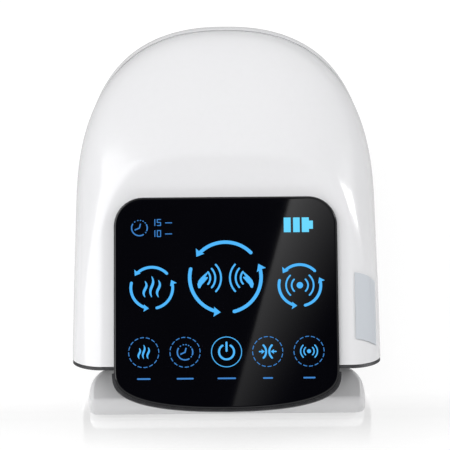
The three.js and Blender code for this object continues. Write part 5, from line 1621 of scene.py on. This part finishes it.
table_white, tree, shader = new_material("table_white")
tree.nodes.remove(shader)
rays = tree.nodes.new("ShaderNodeLightPath").outputs
seen = calculate(tree, "MAXIMUM", rays["Is Camera Ray"], rays["Is Glossy Ray"])
seen = calculate(tree, "MAXIMUM", seen, rays["Is Transmission Ray"])
table_y = add_node(tree, "ShaderNodeSeparateXYZ", {0: place_in(tree)}).outputs[1]
behind = ranged(tree, table_y, *BEHIND)
drop = spread_value(tree, behind, DROP_IN_FRONT, DROP_BEHIND)
glow_strength = calculate(tree, "MULTIPLY_ADD", rays["Is Glossy Ray"], drop, TABLE_GLOW)
white_glow = add_node(tree, "ShaderNodeEmission", {"Color": WHITE, "Strength": glow_strength})
matt = add_node(tree, "ShaderNodeBsdfDiffuse", {"Color": (*grey(TABLE_MATT), 1.0)})
glow = add_node(tree, "ShaderNodeAddShader", {0: white_glow.outputs[0], 1: matt.outputs[0]})
matt_tone = mix_colour(tree, behind, grey(MATT_IN_FRONT), grey(MATT_BEHIND))
matt_full = add_node(tree, "ShaderNodeBsdfDiffuse", {"Color": matt_tone})
mirror = add_node(tree, "ShaderNodeBsdfGlossy", {"Color": WHITE, "Roughness": MIRROR_ROUGH})
starts = ranged(tree, table_y, *MIRROR_STARTS, 0.0, MIRROR_SHARE)
ends = ranged(tree, table_y, *MIRROR_ENDS, 1.0, 0.0)
fade = calculate(tree, "MULTIPLY", starts, ends)
shiny = mix_shaders(tree, fade, glow.outputs[0], mirror.outputs[0])
final = mix_shaders(tree, seen, matt_full.outputs[0], shiny)
tree.links.new(final, tree.nodes["Material Output"].inputs[0])
give(table, table_white)

# %% World: white to the camera, black overhead in mirrors, and less light from behind
AMBIENT, AMBIENT_BEHIND_SHARE = 0.33, 0.35
GLASS_SEES = (0.0, -0.18, 0.984)
DARK_CONE = (0.955, 0.993)
ROOM_IN_MIRRORS, CONE_IN_MIRRORS = 0.72, 0.004
TOWARDS_BEHIND = (0.1, 0.8)
world = bpy.data.worlds.new("studio")
scene.world = world
world.use_nodes = True
tree = world.node_tree
tree.nodes.clear()


def sky(tree, strength):
    """A plain white background."""
    return add_node(tree, "ShaderNodeBackground", {"Color": WHITE, "Strength": strength}).outputs[0]


rays = tree.nodes.new("ShaderNodeLightPath").outputs
direction = tree.nodes.new("ShaderNodeTexCoord").outputs["Generated"]
facing = add_node(tree, "ShaderNodeVectorMath", {0: direction, 1: GLASS_SEES}, operation="DOT_PRODUCT")
overhead = ranged(tree, facing.outputs["Value"], *DARK_CONE, ROOM_IN_MIRRORS, CONE_IN_MIRRORS)
backwards = add_node(tree, "ShaderNodeSeparateXYZ", {0: direction}).outputs[1]
around = ranged(tree, backwards, *TOWARDS_BEHIND, AMBIENT, AMBIENT * AMBIENT_BEHIND_SHARE)
with_mirror = mix_shaders(tree, rays["Is Glossy Ray"], sky(tree, around), sky(tree, overhead))
clear_rays = calculate(tree, "MAXIMUM", rays["Is Camera Ray"], rays["Is Transmission Ray"])
with_camera = mix_shaders(tree, clear_rays, with_mirror, sky(tree, 1.0))
world_end = tree.nodes.new("ShaderNodeOutputWorld")
tree.links.new(with_camera, world_end.inputs[0])

# %% Lamps
OBJECT_MIDDLE = (0.0, 0.0, 0.06)


def softbox(name, place, target, size, watts, mirrored=True):
    """A rectangular lamp at a place in metres, turned towards a target."""
    lamp = bpy.data.lights.new(name, "AREA")
    lamp.shape = "RECTANGLE"
    lamp.size, lamp.size_y = size
    lamp.energy = watts
    holder = bpy.data.objects.new(name, lamp)
    scene.collection.objects.link(holder)
    holder.location = place
    holder.rotation_euler = (Vector(target) - Vector(place)).to_track_quat("-Z", "Y").to_euler()
    holder.visible_glossy = mirrored


softbox("left_key", (-1.0, 0.16, 0.95), OBJECT_MIDDLE, (1.3, 1.3), 13.5)
softbox("top_fill", (0.1, -0.30, 1.5), OBJECT_MIDDLE, (1.0, 0.6), 2.9, False)
softbox("rear_fill", (-0.15, 0.8, 1.35), OBJECT_MIDDLE, (1.0, 0.6), 3.1, False)
softbox("low_front", (0.0, -1.1, 0.12), (0.0, -0.1, 0.02), (1.4, 0.2), 4.2, False)
softbox("right_window", (0.95, 0.35, 0.55), (0.05, 0.05, 0.08), (0.25, 0.5), 5.2)

# %% Bright card that the glass mirrors: its glow is the square of a plane over x and y
CARD_LEVEL = 1200.0
CARD_CORNERS = ((85.3, -100.0), (260.0, -100.0), (260.0, -420.0), (-3.6, -420.0))
CARD_PER_X, CARD_PER_Y, CARD_START = -10.5, 5.45, 2.845
mirror_card = set_out("mirror_card", [(x, y, CARD_LEVEL) for x, y in CARD_CORNERS], [[0, 1, 2, 3]])
card_light, tree, shader = new_material("card_light")
tree.nodes.remove(shader)
rays = tree.nodes.new("ShaderNodeLightPath").outputs
card_axes = add_node(tree, "ShaderNodeSeparateXYZ", {0: place_in(tree)}).outputs
card_fall = calculate(tree, "MULTIPLY_ADD", card_axes[0], CARD_PER_X, CARD_START)
card_fall = calculate(tree, "MULTIPLY_ADD", card_axes[1], CARD_PER_Y, card_fall)
card_glow = calculate(tree, "POWER", calculate(tree, "MAXIMUM", card_fall, 0.0), 2.0)
gleam = add_node(tree, "ShaderNodeEmission", {"Strength": card_glow}).outputs[0]
unseen = tree.nodes.new("ShaderNodeBsdfTransparent").outputs[0]
card_mix = mix_shaders(tree, rays["Is Glossy Ray"], unseen, gleam)
tree.links.new(card_mix, tree.nodes["Material Output"].inputs[0])
give(mirror_card, card_light)
